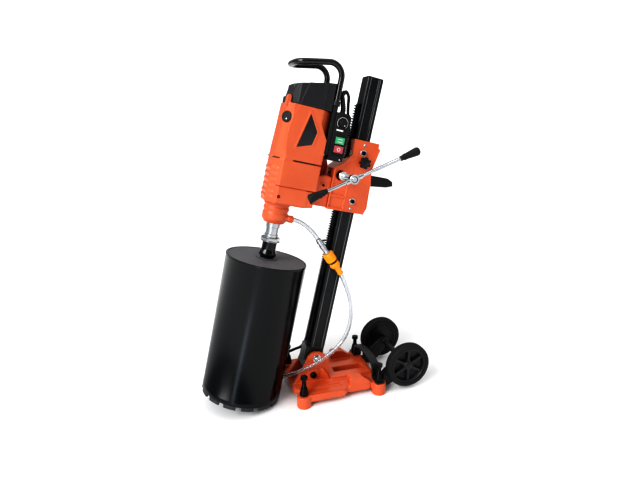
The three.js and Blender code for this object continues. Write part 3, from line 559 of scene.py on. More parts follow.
def repeat_tree():
    """Copies of an element, each a step and a turn about Z from the last."""
    tree = bpy.data.node_groups.new("evenly_spaced_copies", "GeometryNodeTree")
    for label, kind in (("Element", "Object"), ("Copies", "Int"), ("Step", "Vector"),
                        ("Turn", "Float"), ("Finish", "Material")):
        tree.interface.new_socket(label, in_out="INPUT",
                                  socket_type="NodeSocket" + kind)
    tree.interface.new_socket("Geometry", in_out="OUTPUT",
                              socket_type="NodeSocketGeometry")
    given = tree.nodes.new("NodeGroupInput").outputs
    index = add(tree, "GeometryNodeInputIndex").outputs["Index"]
    shift = add(tree, "ShaderNodeVectorMath", {0: given["Step"], "Scale": index},
                operation="SCALE").outputs["Vector"]
    angle = add(tree, "ShaderNodeMath", {0: given["Turn"], 1: index},
                operation="MULTIPLY").outputs["Value"]
    spin = add(tree, "ShaderNodeCombineXYZ", {"Z": angle}).outputs["Vector"]
    points = add(tree, "GeometryNodePoints",
                 {"Count": given["Copies"], "Position": shift})
    element = add(tree, "GeometryNodeObjectInfo", {"Object": given["Element"]})
    placed = add(tree, "GeometryNodeInstanceOnPoints",
                 {"Points": points.outputs["Points"],
                  "Instance": element.outputs["Geometry"], "Rotation": spin})
    real = add(tree, "GeometryNodeRealizeInstances",
               {"Geometry": placed.outputs["Instances"]})
    painted = add(tree, "GeometryNodeSetMaterial",
                  {"Geometry": real.outputs["Geometry"], "Material": given["Finish"]})
    add(tree, "NodeGroupOutput", {"Geometry": painted.outputs["Geometry"]})
    return tree


COPIES = repeat_tree()
COPIES_IN = {s.name: s.identifier for s in COPIES.interface.items_tree
             if s.in_out == "INPUT"}


def repeated(into, element, material, count, step=(0, 0, 0), turn=0.0, at=None):
    """Adds evenly spaced copies of an element to a mesh. step in millimetres,
    turn in degrees; at carries the element's own frame to its place."""
    meshes = [bpy.data.meshes.new(n) for n in ("element", "copies")]
    element.to_mesh(meshes[0])
    element.free()
    one, many = [bpy.data.objects.new(m.name, m) for m in meshes]
    for made in (one, many):
        scene.collection.objects.link(made)
    spread = many.modifiers.new("copies", "NODES")
    spread.node_group = COPIES
    for label, value in (("Element", one), ("Copies", count),
                         ("Step", Vector(step) * MM), ("Turn", math.radians(turn)),
                         ("Finish", material)):
        spread[COPIES_IN[label]] = value
    bpy.context.view_layer.update()
    done = bpy.data.meshes.new_from_object(
        many.evaluated_get(bpy.context.evaluated_depsgraph_get()))
    done.transform(at or Matrix.Identity(4))
    many.modifiers.remove(spread)
    into.from_mesh(done)
    for made in (one, many):
        bpy.data.objects.remove(made)
    return into


def upright(centre, axis, start=None):
    """A frame at a point with its Z along an axis, and X near start."""
    z = Vector(axis).normalized()
    x = Vector(start) if start else z.orthogonal()
    x = (x - z * x.dot(z)).normalized()
    y = z.cross(x)
    return Matrix(((x.x, y.x, z.x, centre.x), (x.y, y.y, z.y, centre.y),
                   (x.z, y.z, z.z, centre.z), (0, 0, 0, 1)))


def local(u, v, w):
    return Vector((u, v, w)) * MM


for where, sy in (("near", -1), ("far", 1)):
    hub = on_floor(WHEEL_X, 0, WHEEL_Z)
    out = Vector((0, sy, 0))
    rim = bmesh.new()
    turned(rim, [(51, 100), (54, 97), (59.8, 96.5), (59.8, 122.5), (55, 122.5),
                 (53.5, 120.5), (52, 110), (22, 107.5), (16.5, 107.5), (16.5, 120),
                 (14.5, 122), (6.4, 122), (6.4, 94.5), (15, 94.5), (15, 100.5),
                 (40, 103)], hub, out, 72)
    spoke = bmesh.new()
    prism(spoke, [(13, -6.5), (30, -3.6), (56, -5.5), (56, 5.5), (30, 3.6),
                  (13, 6.5)], 105, 119, local)
    rounded_edges(spoke, 1.2)
    repeated(rim, spoke, rim_plastic, 6, turn=60, at=upright(hub, out, UP))
    turned(rim, [(0, 119), (12, 119), (12, 123), (9, 124.6), (0, 125.2)], hub, out, 40)
    piece(f"rim_{where}", rim, rim_plastic, f"wheel_{where}", f"wheel_rim_{where}")
    tread = bmesh.new()
    turned(tread, [(60.2, 94.5), (68, 94.2), (72, 95.5), (74.4, 99), (75, 104),
                   (73.4, 105), (73.4, 106.6), (75, 107.6), (75, 111.4),
                   (73.4, 112.4), (73.4, 114), (75, 115), (74.4, 120), (72, 123.5),
                   (68, 124.8), (60.2, 124.5)], hub, out, 96)
    piece(f"tread_{where}", tread, tyre_rubber, f"wheel_{where}", f"tyre_{where}")

# -------------------------------------------------------------------- column
# Square aluminium extrusion, hard anodised black, with shallow channels along
# three faces; a plastic cap closes its top.
black_anodised = finish("black_hard_anodised_extrusion", "#121315", "#18191b", 0.33,
                        0.7, 0.03, 90)
column = bmesh.new()
edge = [(0, -23), (2, -25), (8.8, -25), (9.3, -24.2), (10.7, -24.2), (11.2, -25),
        (14, -25), (15.4, -23.6), (34.6, -23.6), (36, -25), (39, -25),
        (39.3, -24.2), (40.7, -24.2), (41.2, -25), (48, -25), (50, -23)]
ring = edge + [(n, -y) for n, y in reversed(edge)] + [(0, 12), (1.5, 10.5),
                                                     (1.5, -10.5), (0, -12)]
prism(column, ring, 150, 1012, lambda n, y, s: on_column(n, s, y))
extrusion = piece("column_extrusion", column, black_anodised, "column",
                  "column_profile", 25)
# The channel faces on both flanks get a light grey: painted highlights along the channels.
extrusion.data.materials.append(finish("rubbed_anodised_edges", "#8e8e90", "#7c7c7f",
                                       0.35, 0.8, 0.02, 40, {"Metallic": 0.6}))
for face in extrusion.data.polygons:
    ahead = (face.center - COLUMN_FOOT).dot(AHEAD) / MM
    if min(abs(ahead - 10), abs(ahead - 40)) < 1.3:
        face.material_index = 1
abs_black = finish("textured_black_abs", "#1c1c1e", "#222224", 0.5, 0.9, 0.08)
cap = bmesh.new()
block(cap, 0.8, 49.2, -24.2, 24.2, 1012.3, 1016)
rounded_edges(cap, 1.4)
piece("column_end_cap", cap, abs_black, "column", "column_cap")

# ---------------------------------------------------------------------- rack
# Module 2.5 steel rack, milled and blackened, screwed to the column's front.
blackened_rack = finish("blackened_milled_steel", "#3a3b3e", "#2a2b2d", 0.42, 1.0,
                        0.03, 25, {"Metallic": 0.85})
RACK_PITCH, RACK_TIP, RACK_ROOT = math.pi * 2.5, 62.85, 57.4
rack = bmesh.new()
block(rack, 50.3, RACK_ROOT, -10, 10, 158, 934)
rounded_edges(rack, 0.5)
tooth = bmesh.new()
prism(tooth, [(RACK_ROOT - 0.4, -3.0), (RACK_TIP, -1.0), (RACK_TIP, 1.0),
              (RACK_ROOT - 0.4, 3.0)], -10, 10, lambda n, s, y: local(n, y, s))
rounded_edges(tooth, 0.35, segments=1)
first_tooth = 715 - 70 * RACK_PITCH
repeated(rack, tooth, blackened_rack, 98, (0, 0, RACK_PITCH),
         at=upright(on_column(0, first_tooth), ALONG, AHEAD))
piece("rack_bar", rack, blackened_rack, "column", "gear_rack", 30)

# --------------------------------------------------------------- column foot
# Cast and milled aluminium block, bare, clamped between the ears.
milled_aluminium = finish("bare_cast_aluminium", "#8b8c8d", "#7b7d7f", 0.44, 1.2,
                          0.05, 30, {"Metallic": 0.9})
foot = solid_of("column_foot")
foot_block = piece("foot_block", cast("foot", foot, 1.6, 2), milled_aluminium,
                   "column", "column_foot", None)
foot_block.data.materials.append(black_anodised)
for face in foot_block.data.polygons:
    if abs(face.normal.y) > 0.6 and (face.center - COLUMN_FOOT).dot(ALONG) > 0.104:
        face.material_index = 1

# ------------------------------------------------------------------ carriage
# Orange enamelled casting bored for the column, with a nylon liner. The near
# plate has a raised front edge, two sunk panels and machined bolt seats.
PINION_N, PINION_S = 78, 715
carriage = solid_of("carriage_housing")
prism(carriage, [(97, 609), (101.4, 609), (101.4, 732), (55, 780.5), (51, 778),
                 (97, 729)], -47.4, -40, on_column)
prism(carriage, [(-22, 609), (-18, 609), (-20.5, 704), (-13.5, 746), (-27, 812),
                 (-30.5, 811), (-17, 746), (-24.5, 704)], -46.2, -40,
      on_column)
block(carriage, 46.5, 101, -46, -40, 609, 616)
block(carriage, 46.5, 101, -46, -40, 648.5, 655.5)
block(carriage, 46.5, 50, -46, -40, 609, 694)
block(carriage, 46.5, 101, -46, -40, 692.5, 696)
for n, s, inner, r in ((22, 792.6, 4.4, 10), (24, 644.3, 4.4, 10), (15.7, 765, 4.4, 10),
                       (PINION_N, PINION_S, 15.2, 22)):
    turned(carriage, [(inner, 40), (r, 40), (r, 45.2), (inner, 45.2)],
           on_column(n, s, 0), TO_NEAR, 40)
piece("carriage_casting", cast("carriage", carriage, 1.5, 2), orange_enamel,
      "carriage", "carriage_housing", None)
nylon = finish("white_cast_nylon", "#e4e1d6", "#dedaca", 0.45, 2.0, 0.03)
liner = solid_of("guide_liner")
piece("liner_sleeve", rounded_edges(liner, 0.4), nylon, "carriage", "guide_liner")
mount = solid_of("motor_mount")
for s in (640, 676):
    turned(mount, [(0, 36), (9, 36), (9, 39.6), (0, 39.6)], on_column(124, s, 0),
           TO_NEAR, 32)
piece("motor_bracket", cast("mount", mount, 1.5, 2), orange_enamel, "carriage",
      "motor_mount", None)
washers, carriage_screws = bmesh.new(), bmesh.new()
for n, s in ((22, 792.6), (24, 644.3)):
    turned(washers, [(0, 0), (9.3, 0), (9.8, 0.5), (9.8, 1.7), (9.3, 2.2), (0, 2.2)],
           on_column(n, s, -45.3), TO_NEAR, 40)
    socket_bolt(carriage_screws, on_column(n, s, -47.4), TO_NEAR, 6.2, 5.6, 3.2)
    rod(carriage_screws, 3.9, on_column(n, s, -45.2), on_column(n, s, -34))
piece("carriage_cap_screws", carriage_screws, black_phosphate, "carriage",
      ("carriage_bolt_upper", "carriage_bolt_lower"))
for n, s in ((22, 816), (25, 621)):
    socket_bolt(washers, on_column(n, s, -45.2), TO_NEAR, 4.4, 2.6, 2.2)
piece("carriage_washers", washers, zinc_plate, "carriage")
small_screws = bmesh.new()
for s in (640, 676):
    socket_bolt(small_screws, on_column(124, s, -39.6), TO_NEAR, 3.6, 3.2, 1.9)
piece("carriage_grub_screws", small_screws, black_phosphate, "carriage")
bearing = bmesh.new()
turned(bearing, [(9.4, 37), (14.6, 37), (14.6, 43.5), (13.4, 44.4), (9.4, 44.4)],
       on_column(PINION_N, PINION_S, 0), TO_NEAR, 40)
piece("pinion_bearing", bearing, black_phosphate, "carriage")

# ------------------------------------------------------- star knob and lever
# Glass-filled nylon: a seven-lobed knob that sets the guide's play, and the
# slim lever on the far side that locks the carriage to the column.
knob_nylon = finish("glass_filled_nylon", "#1a1a1c", "#212123", 0.42, 0.8, 0.07)
knob_at = on_column(15.7, 765)
knob = bmesh.new()
turned(knob, [(0, 52.3), (12.5, 52.3), (13.6, 53.6), (13.6, 63.6), (11, 65.4),
              (5, 65.8), (4, 64.8), (0, 64.6)], knob_at, TO_NEAR, 56)
turned(knob, [(3.9, 33.5), (3.9, 45), (8, 45.6), (8, 52.6), (0, 52.6), (0, 33.5)],
       knob_at, TO_NEAR, 32)
lobe = bmesh.new()
prism(lobe, [(13.2 + 4.6 * math.cos(t), 4.6 * math.sin(t)) for t in
             (2 * math.pi * k / 18 for k in range(18))], 52.8, 65, local)
rounded_edges(lobe, 1.0)
repeated(knob, lobe, knob_nylon, 7, turn=360 / 7, at=upright(knob_at, TO_NEAR))
piece("star_knob_moulding", knob, knob_nylon, "star_knob", "star_knob")
lever = solid_of("lock_lever")
piece("lock_lever_moulding", cast("lever", lever, 1.4, 8), knob_nylon, "lock_lever",
      "lock_lever", None)

# --------------------------------------------------------------- feed handle
# The pinion shaft runs out to a crosspiece with two chromed bars, the long
# one knurled, each with a tapered rubber grip.
chrome = finish("bright_chrome_plate", "#c6c9cc", "#bbbec2", 0.14, 2.0, 0.008,
                shader={"Metallic": 1.0})
grip_rubber = finish("ribbed_grip_rubber", "#191919", "#202021", 0.6, 0.8, 0.08)
HUB_Y = -150
hub = on_column(PINION_N, PINION_S, HUB_Y)
out = Vector(TO_NEAR)
pinion = solid_of("pinion_shaft")
for v in [v for v in pinion.verts if v.co.y < on_column(0, 0, -12).y]:
    pinion.verts.remove(v)
bmesh.ops.holes_fill(pinion, edges=[e for e in pinion.edges if e.is_boundary])
turned(pinion, [(0, -140), (9, -140), (9, -91), (12.2, -91), (13, -90), (13, -84),
                (12.2, -83), (9, -83), (9, 4), (8, 5), (0, 5)], hub, out, 48)
piece("pinion_spindle", pinion, chrome, "feed", "pinion_shaft")
arm = Vector((-0.837, 0, -0.547)).normalized()
short_way = (Matrix.Rotation(LEAN, 4, "Y") @ arm).normalized()
bars = bmesh.new()
turned(bars, [(9.4, -8), (13, -8), (14, -7), (14, 7), (13, 8), (9.4, 8)], hub, out, 48)
turned(bars, [(0, 6.2), (7, 6.2), (8, 5.2), (8, 4), (0, 4)], hub + out * 2 * MM,
       out, 32)
rod(bars, 5, hub + short_way * 11 * MM, hub + short_way * 128 * MM)
rod(bars, 5, hub - short_way * 11 * MM, hub - short_way * 196 * MM)
for way in (1, -1):
    collar = hub + short_way * way * 12 * MM
    rod(bars, 7.4, collar, collar + short_way * way * 14 * MM)
knurl = bmesh.new()
turned(knurl, [(5.0, 0), (5.5, 0.7), (5.5, 1.6), (5.0, 2.3)], Vector(), UP, 28)
repeated(bars, knurl, chrome, 34, (0, 0, 3.4),
         at=upright(hub - short_way * 32 * MM, -short_way))
piece("feed_crossbar", bars, chrome, "feed", "feed_bar")
for name, way, start, end in (("short", 1, 83, 141), ("long", -1, 151, 214)):
    toward = short_way * way
    handle = bmesh.new()
    turned(handle, [(0, start), (6.6, start), (7.2, start + 1), (7.6, start + 6),
                    (11.4, end - 20), (12.4, end - 9), (11.6, end - 4),
                    (9, end - 1.4), (5, end), (0, end)], hub, toward, 48)
    rib = bmesh.new()
    turned(rib, [(0, 0), (8.9, 0), (9.3, 0.7), (9.3, 1.5), (8.9, 2.2), (0, 2.2)],
           Vector(), UP, 40)
    repeated(handle, rib, grip_rubber, 3, (0, 0, 3.6),
             at=upright(hub + toward * (start + 12) * MM, toward))
    piece(f"{name}_grip", handle, grip_rubber, "feed", f"grip_{name}")

# --------------------------------------------------------------- motor shell
# Glass-filled nylon moulding sprayed orange, in three bands with seams between
# them, over a die-cast gearbox with a turned nose. Ribs stiffen its front.
motor_orange = finish("sprayed_orange_moulding", "#cc6742", "#c8633f", 0.36, 1.4,
                      0.05)
SECTION = [(148, -35), (175, -60), (262, -60), (288, -30), (288, 30), (262, 60),
           (175, 60), (148, 35)]


def ring_prism(bm, outer, inner, low, high, place):
    """A frame between two outlines with as many corners, from low to high."""
    loops = [[bm.verts.new(place(u, v, w)) for u, v in line]
             for line in (outer, inner) for w in (low, high)]
    (a, b), (c, d) = loops[:2], loops[2:]
    faces = []
    for p, q in ((a, b), (d, c), (b, d), (c, a)):
        for i in range(len(p)):
            faces.append(bm.faces.new([p[i - 1], p[i], q[i], q[i - 1]]))
    bmesh.ops.recalc_face_normals(bm, faces=faces)


def grown(outline, by):
    """An outline moved outwards by a distance, corner by corner."""
    middle = Vector((sum(u for u, v in outline), sum(v for u, v in outline)))
    middle /= len(outline)
    made = []
    for i, here in enumerate(outline):
        here = Vector(here)
        sides = []
        for other in (outline[i - 1], outline[(i + 1) % len(outline)]):
            edge = (Vector(other) - here).normalized()
            square = Vector((edge.y, -edge.x))
            if square.dot(here - middle) < 0:
                square = -square
            sides.append(square)
        bisect = sides[0] + sides[1]
        made.append(tuple(here + bisect * (2 * by / bisect.dot(bisect))))
    return made


FRONT, TAPER_FROM, TAPER = 290.2, 700, 0.0545
MOTOR_HALF = 60


def tapered(n, y, s):
    """The motor's front leans back above a height along the column."""
    return on_column(min(n, FRONT - max(0, s - TAPER_FROM) * TAPER), s, y)


def on_side(side):
    """Outlines of (n, s) set on one flank: side is -1 near and 1 far."""
    return lambda n, s, out_by: on_column(n, s, side * (MOTOR_HALF + out_by))


shell = solid_of("motor_shell")
for low, high in ((652.7, 689), (691.4, 728), (732, 885.6)):
    ring_prism(shell, grown(SECTION, 1.3), grown(SECTION, -3), low, high, tapered)
for side in (-1, 1):
    flank = on_side(side)
    for low, high, back in ((652.7, 689, 149), (691.4, 728, 149)):
        prism(shell, [(back, low), (250, low), (250, high), (back, high)], -18, 1.3,
              flank)
    prism(shell, [(149, 732), (200, 732), (200, 800), (149, 806)], -18, 1.3, flank)
    prism(shell, [(149, 800), (167, 835), (178, 857), (179, 885.6), (190, 885.6),
                  (190, 800)], -18, 1.3, flank)
    prism(shell, [(179, 885.6), (178, 857), (168, 835), (150, 806), (150, 732.6),
                  (258, 732.6), (265, 760), (268, 795), (266, 825), (258, 858),
                  (246, 885.6)], -6, 2.4, flank)
    ring_prism(shell, [(212.4, 877), (177, 822.8), (186, 778.6), (240, 765.5)],
               [(210.9, 870), (181.4, 821.8), (190.2, 782.4), (235.5, 768.6)],
               0, 4.0, flank)
prism(shell, [(284, 876), (282.6, 902), (279.5, 907.5), (273, 907.5), (270, 902),
              (268, 876)], -34, -15, on_side(-1))


def front_rib(bm, s, front, flank):
    """A round rib across the motor's front and its two corner faces."""
    rod(bm, RIB, on_column(front, s, -29), on_column(front, s, 29), 24)
    for side in (-1, 1):
        rod(bm, RIB, on_column(front, s, side * 29), on_column(flank, s, side * 47), 24)


RIB = 6.6
for s in (647, 664, 681, 698):
    front_rib(shell, s, 285.4, 270)
piece("motor_shell_moulding", cast("shell", shell, 1.7, 2), motor_orange,
      "carriage", "motor_shell", None)

gearbox = solid_of("gearbox_housing")
ring_prism(gearbox, grown(SECTION, 3.2), grown(SECTION, -3), 603, 650.4, tapered)
for side in (-1, 1):
    prism(gearbox, [(151, 604), (250, 603), (250, 650.4), (151, 650.4)], -18, 1.3,
          on_side(side))
    for s in (616, 630):
        rod(gearbox, RIB, on_column(286.5, s, side * 29),
            on_column(271, s, side * 47), 24)
for s in (616, 630):
    rod(gearbox, RIB, on_column(286.5, s, -29), on_column(286.5, s, 29), 24)
turned(gearbox, [(35, 602), (39.4, 602), (39.4, 592), (36.9, 590.4), (36.9, 585.6),
                 (39, 584), (39, 577), (36.8, 575), (36.8, 569), (39, 566.5),
                 (39, 549), (37, 545.5), (31, 536.4), (29, 540), (32, 560)],
       on_column(242.5, 0), ALONG, 64)
turned(gearbox, [(6.8, 0), (11, 0), (11, 14), (10, 15.5), (6.8, 15.5)],
       on_column(206, 556, -20), -AHEAD, 32)
piece("gearbox_casting", cast("gearbox", gearbox, 1.5, 2), motor_orange,
      "carriage", "gearbox_housing", None)

inserts = bmesh.new()
for side in (-1, 1):
    block(inserts, 168, 235.5, *sorted((side * 47.5, side * 59)), 728.2, 731.8)
    prism(inserts, [(274, -50), (291, -33), (287.5, -29.5), (270.5, -46.5)]
          if side < 0 else [(274, 50), (291, 33), (287.5, 29.5), (270.5, 46.5)],
          728.6, 731.4, lambda n, y, s: on_column(n, s, y))
piece("motor_vent_inserts", inserts, abs_black, "carriage")
badge = bmesh.new()
prism(badge, [(210.4, 867.4), (182.6, 821.6), (191.2, 783.8), (234.2, 770)], 2.2, 3.6,
      on_side(-1))
rounded_edges(badge, 0.5)
satin_badge = finish("satin_black_badge", "#2b2b2e", "#29292c", 0.3, 3.0, 0.01)
piece("blank_badge", badge, satin_badge, "carriage")
label_white = finish("printed_white_film", "#e9e9e6", "#e4e4e2", 0.4, 2.0, 0.01)
label = bmesh.new()
prism(label, [(213, 634.5), (240, 639.5), (240, 643), (213, 638)], 1.0, 1.75,
      on_side(-1))
piece("blank_rating_film", label,
      finish("faded_rating_film", "#ff9b7c", "#fd9474", 0.4, 2.0, 0.01),
      "carriage")
motor_screws = bmesh.new()
for side in (-1, 1):
    for n in (258.5, 158):
        socket_bolt(motor_screws, on_column(n, 622, side * 61), (0, side, 0), 4.6,
                    3.6, 2.4)
piece("gearbox_screws", motor_screws, black_phosphate, "carriage")

# ----------------------------------------------------------------- motor cap
# Moulded ABS, textured black, with a raised panel on each flank.
cap_abs = finish("satin_black_abs_cap", "#2d2d30", "#2a2a2d", 0.42, 1.2, 0.06)
cap = solid_of("motor_cap")
for side in (-1, 1):
    prism(cap, [(246, 886.6), (229.5, 949.6), (185, 958), (179, 886.6)], -8, 1.8,
          on_side(side))
    prism(cap, [(179, 886.6), (185, 958), (152, 962), (149, 886.6)], -22, -4,
          on_side(side))
ring_prism(cap, [(150, -33), (268, -33), (268, 33), (150, 33)],
           [(156, -27), (262, -27), (262, 27), (156, 27)], 900, 941,
           lambda n, y, s: on_column(n, s + (268 - n) * 0.233 - 1.2, y))
piece("motor_cap_moulding", cast("cap", cap, 1.55, 2), cap_abs, "carriage",
      "motor_cap", None)

# ------------------------------------------------------------- carry handle
# One bent steel tube, black powder coat, held in clamps on the back plate.
def bent(corners, radii, steps=9):
    """A line with its corners rounded to given radii, in millimetres."""
    line = [Vector(corners[0])]
    for i, r in enumerate(radii, 1):
        before, here, after = (Vector(corners[k]) for k in (i - 1, i, i + 1))
        a, b = (before - here).normalized(), (after - here).normalized()
        half = a.angle(b) / 2
        middle = here + (a + b).normalized() * r / math.sin(half)
        start = here + a * r / math.tan(half)
        end = here + b * r / math.tan(half)
        p, q = start - middle, end - middle
        turn = p.angle(q)
        for k in range(steps + 1):
            t = k / steps
            line.append(middle + p * (math.sin((1 - t) * turn) / math.sin(turn))
                        + q * (math.sin(t * turn) / math.sin(turn)))
    return line + [Vector(corners[-1])]


def handle_height(n):
    """Where the tube is level: 1033 mm above the floor."""
    return (1033 - n * math.sin(LEAN)) / math.cos(LEAN)


gloss_black = finish("glossy_black_powder_coat", "#141415", "#19191a", 0.22, 1.6,
                     0.05, shader={"Coat Weight": 0.4, "Coat Roughness": 0.12})
corners = [(140, 905.3, -50), (140, handle_height(140), -50),
           (275, handle_height(275), -50), (275, handle_height(275), 50),
           (150, handle_height(150), 50), (150, 905.3, 50)]
tube_path = [on_column(*p) for p in bent(corners, [36, 30, 30, 36])]
handle = bmesh.new()
sweep(handle, tube_path, 8.5 * MM, 28)
piece("top_handle_tube", handle, gloss_black, "carriage", "top_handle")
back = solid_of("back_plate")
rounded_edges(back, 1.2)
for n, y in ((140, -50), (150, 50)):
    turned(back, [(8.7, 0), (11, 0), (11.6, 1), (11.6, 12), (11, 13), (8.7, 13)],
           on_column(n, 905.5, y), ALONG, 36)
for s in (780, 830, 880):
    block(back, 131.8, 134.8, -52, 50, s, s + 8)
piece("back_plate_moulding", back, abs_black, "carriage", "back_plate")

# --------------------------------------------------------- switch box, dial
# Moulded ABS box with a raised rim round two push buttons, a speed dial with
# a printed arc, and a spring flap below. Its label is blank.
switch = bmesh.new()
prism(switch, [(88, 768), (88, 882), (96, 890), (134.2, 890), (134.2, 752),
               (96, 752)], -60.5, -20, on_column)
rounded_edges(switch, 2.2, segments=3)
outline = [(89.5, 768.6), (89.5, 881.4), (96.6, 888.4), (132.8, 888.4),
           (132.8, 753.6), (96.6, 753.6)]
well = [(95.2, 775.8), (95.2, 823.6), (95.2, 823.6), (126.8, 823.6),
        (126.8, 775.8), (96.4, 775.8)]
ring_prism(switch, outline, well, -63.4, -58, on_column)
ring_prism(switch, [(91.8, 772), (91.8, 827.4), (130.4, 827.4), (130.4, 772)],
           [(95.4, 775.9), (95.4, 823.4), (126.6, 823.4), (126.6, 775.9)],
           -65.4, -60, on_column)
block(switch, 95, 127, -62.4, -58, 797.6, 801.4)
prism(switch, [(91.5, 754), (91.5, 769), (133, 769), (133, 754)], -67, -60,
      on_column)
rounded_edges(switch, 0.7, 60)
piece("switch_housing", switch, abs_black, "carriage", "switch_box")
marks = bmesh.new()
for k in range(24):
    a0, a1 = (math.radians(-45 + 270 * (k + t) / 24) for t in (0.0, 1.02))
    prism(marks, [(15.6 * math.cos(a0), 15.6 * math.sin(a0)),
                  (16.6 * math.cos(a0), 16.6 * math.sin(a0)),
                  (16.6 * math.cos(a1), 16.6 * math.sin(a1)),
                  (15.6 * math.cos(a1), 15.6 * math.sin(a1))], -63.65, -63.2,
          lambda u, v, y: on_column(113 + u, 862 + v, y))
block(marks, 107, 128, -63.8, -63.2, 838.6, 843)
turned(marks, [(0, 0), (2, 0), (1.6, 0.8), (0, 0.9)], on_column(101.5, 758.5, -67),
       TO_NEAR, 20)
piece("switch_markings", marks, label_white, "carriage")


def key(name, material, n0, n1, s0, s1, slot, mark):
    """One push button, with a raised generic mark."""
    cap = bmesh.new()
    block(cap, n0, n1, -66.3, -57.2, s0, s1)
    rounded_edges(cap, 0.9, segments=3)
    piece(name + "_key", cap, material, name, name)
    raised = bmesh.new()
    mark(raised, (n0 + n1) / 2, (s0 + s1) / 2)
    piece(name + "_mark", raised, label_pale, name)


label_pale = finish("pale_button_print", "#d9e6dc", "#d4e0d8", 0.4, 2.0, 0.01)
key("start_button", finish("green_button_abs", "#4fa678", "#4aa072", 0.32, 1.6, 0.03),
    97, 125, 802, 822, "start_green",
    lambda bm, n, s: (block(bm, n - 8, n + 8, -66.5, -66, s - 4.6, s - 3.2),
                      block(bm, n - 8, n + 8, -66.5, -66, s + 3.2, s + 4.6)))
key("stop_button", finish("red_button_abs", "#b9565d", "#b35259", 0.32, 1.6, 0.03),
    96, 124, 777, 797, "stop_red",
    lambda bm, n, s: turned(bm, [(3.6, 0), (5.2, 0), (5.2, 0.3), (3.6, 0.3)],
                            on_column(n, s, -66.2), TO_NEAR, 32))
dial_at = on_column(113, 862)
dial = bmesh.new()
turned(dial, [(0, 58.2), (3, 58.2), (3, 64.4), (12, 64.4), (11.4, 70), (10.6, 70.9),
              (0, 70.9)], dial_at, TO_NEAR, 48)
flute = bmesh.new()
prism(flute, [(11, -0.7), (12.4, -0.45), (12.4, 0.45), (11, 0.7)], 64.6, 69.6, local)
repeated(dial, flute, abs_black, 24, turn=15, at=upright(dial_at, TO_NEAR))
piece("speed_dial_knob", dial, abs_black, "speed_dial", "speed_dial")
pointer = bmesh.new()
turned(pointer, [(0, 0), (1.5, 0), (1.5, 0.25), (0, 0.25)],
       on_column(108.2, 855.6, -70.8), TO_NEAR, 20)
piece("speed_dial_pointer", pointer, label_white, "speed_dial")

# ------------------------------------------------------- brush cap, windings
# A slotted black cap over the brush, held by a chromed screw; inside, the
# enamelled windings, the rotor and the steel reduction gear.
brush_out = AHEAD * 0.756 + Vector((0, -0.655, 0))
brush_at = on_column(274, 846, -46.2)
brush = bmesh.new()
turned(brush, [(0, 0.5), (16, 0.5), (16.2, 1.4), (15.6, 2.6), (13.4, 3.9), (11.6, 3.9),
               (10.8, 3.0), (0, 2.8)], brush_at, brush_out, 48)
piece("brush_cap_moulding", brush, abs_black, "carriage", "brush_cap")
brush_screw = bmesh.new()
turned(brush_screw, [(0, 2.5), (3.4, 2.5), (3.2, 4.0), (1.6, 4.2), (1.5, 3.4),
                     (0, 3.4)], brush_at - ALONG * 7 * MM, brush_out, 28)
piece("brush_cap_screw", brush_screw, chrome, "carriage")
windings = finish("enamelled_copper_windings", "#a4552c", "#8e4725", 0.35, 0.9, 0.25,
                  12, {"Metallic": 0.9})
ground_steel = finish("ground_and_turned_steel", "#c3c5c7", "#b4b6b9", 0.24, 1.2,
                      0.02, shader={"Metallic": 1.0})
for name, metal in (("stator", windings), ("rotor", ground_steel),
                    ("spindle_gear", ground_steel)):
    node = frame["nodes"][name]
    node.data.materials.clear()
    node.data.materials.append(metal)

# ------------------------------------------------------ spindle and core bit
# Ground steel spindle with spanner flats, a plated hexagon nut, a blackened
# adapter, and the welded steel barrel: gloss black, with sintered segments
# round its rim and water slots between them.
BIT_N, BIT_R, BIT_LOW, BIT_TOP = 242.5, 125, -25.8, 424.2
bit_axis = on_column(BIT_N, 0)
spindle = bmesh.new()
turned(spindle, [(14.5, 491.4), (20.8, 491.4), (21.5, 492.2), (21.5, 499.6),
                 (20.9, 500), (19.2, 500.2), (19.2, 521.8), (20.9, 522),
                 (21.5, 522.6), (21.5, 535.4), (17, 535.5), (17, 640), (0, 640),
                 (0, 504), (14.5, 504)], bit_axis, ALONG, 64)
piece("spindle_turned", spindle, ground_steel, "spindle", "spindle")
nut = bmesh.new()
prism(nut, [(29.6 * u, 29.6 * v) for u, v in hexagon], 0, 11.4, local)
rounded_edges(nut, 1.2)
nut.transform(upright(on_column(BIT_N, 479.4), ALONG, AHEAD))
turned(nut, [(14.6, 477.2), (29, 477.2), (29.8, 478), (29.8, 479.2), (28, 480),
             (14.6, 480)], bit_axis, ALONG, 56)
turned(nut, [(14.6, 490), (24, 490), (23, 491.2), (14.6, 491.2)], bit_axis, ALONG, 56)
piece("spindle_nut_hex", nut, ground_steel, "spindle", "spindle_nut")
adapter_black = finish("gloss_black_oxide", "#151517", "#1b1b1d", 0.18, 1.5, 0.03,
                       shader={"Metallic": 0.4, "Coat Weight": 0.5,
                               "Coat Roughness": 0.08})
adapter = bmesh.new()
turned(adapter, [(0, 424.5), (22, 424.5), (21.2, 426), (21.4, 427.5), (23, 429.5),
                 (26.2, 433), (27, 436), (27, 440.5), (25.8, 444.5), (23, 449),
                 (22.4, 453), (22.4, 475.4), (21.4, 476.6), (13.8, 476.6),
                 (13.8, 502), (0, 502)], bit_axis, ALONG, 64)
piece("bit_adapter_turned", adapter, adapter_black, "spindle", "bit_adapter")

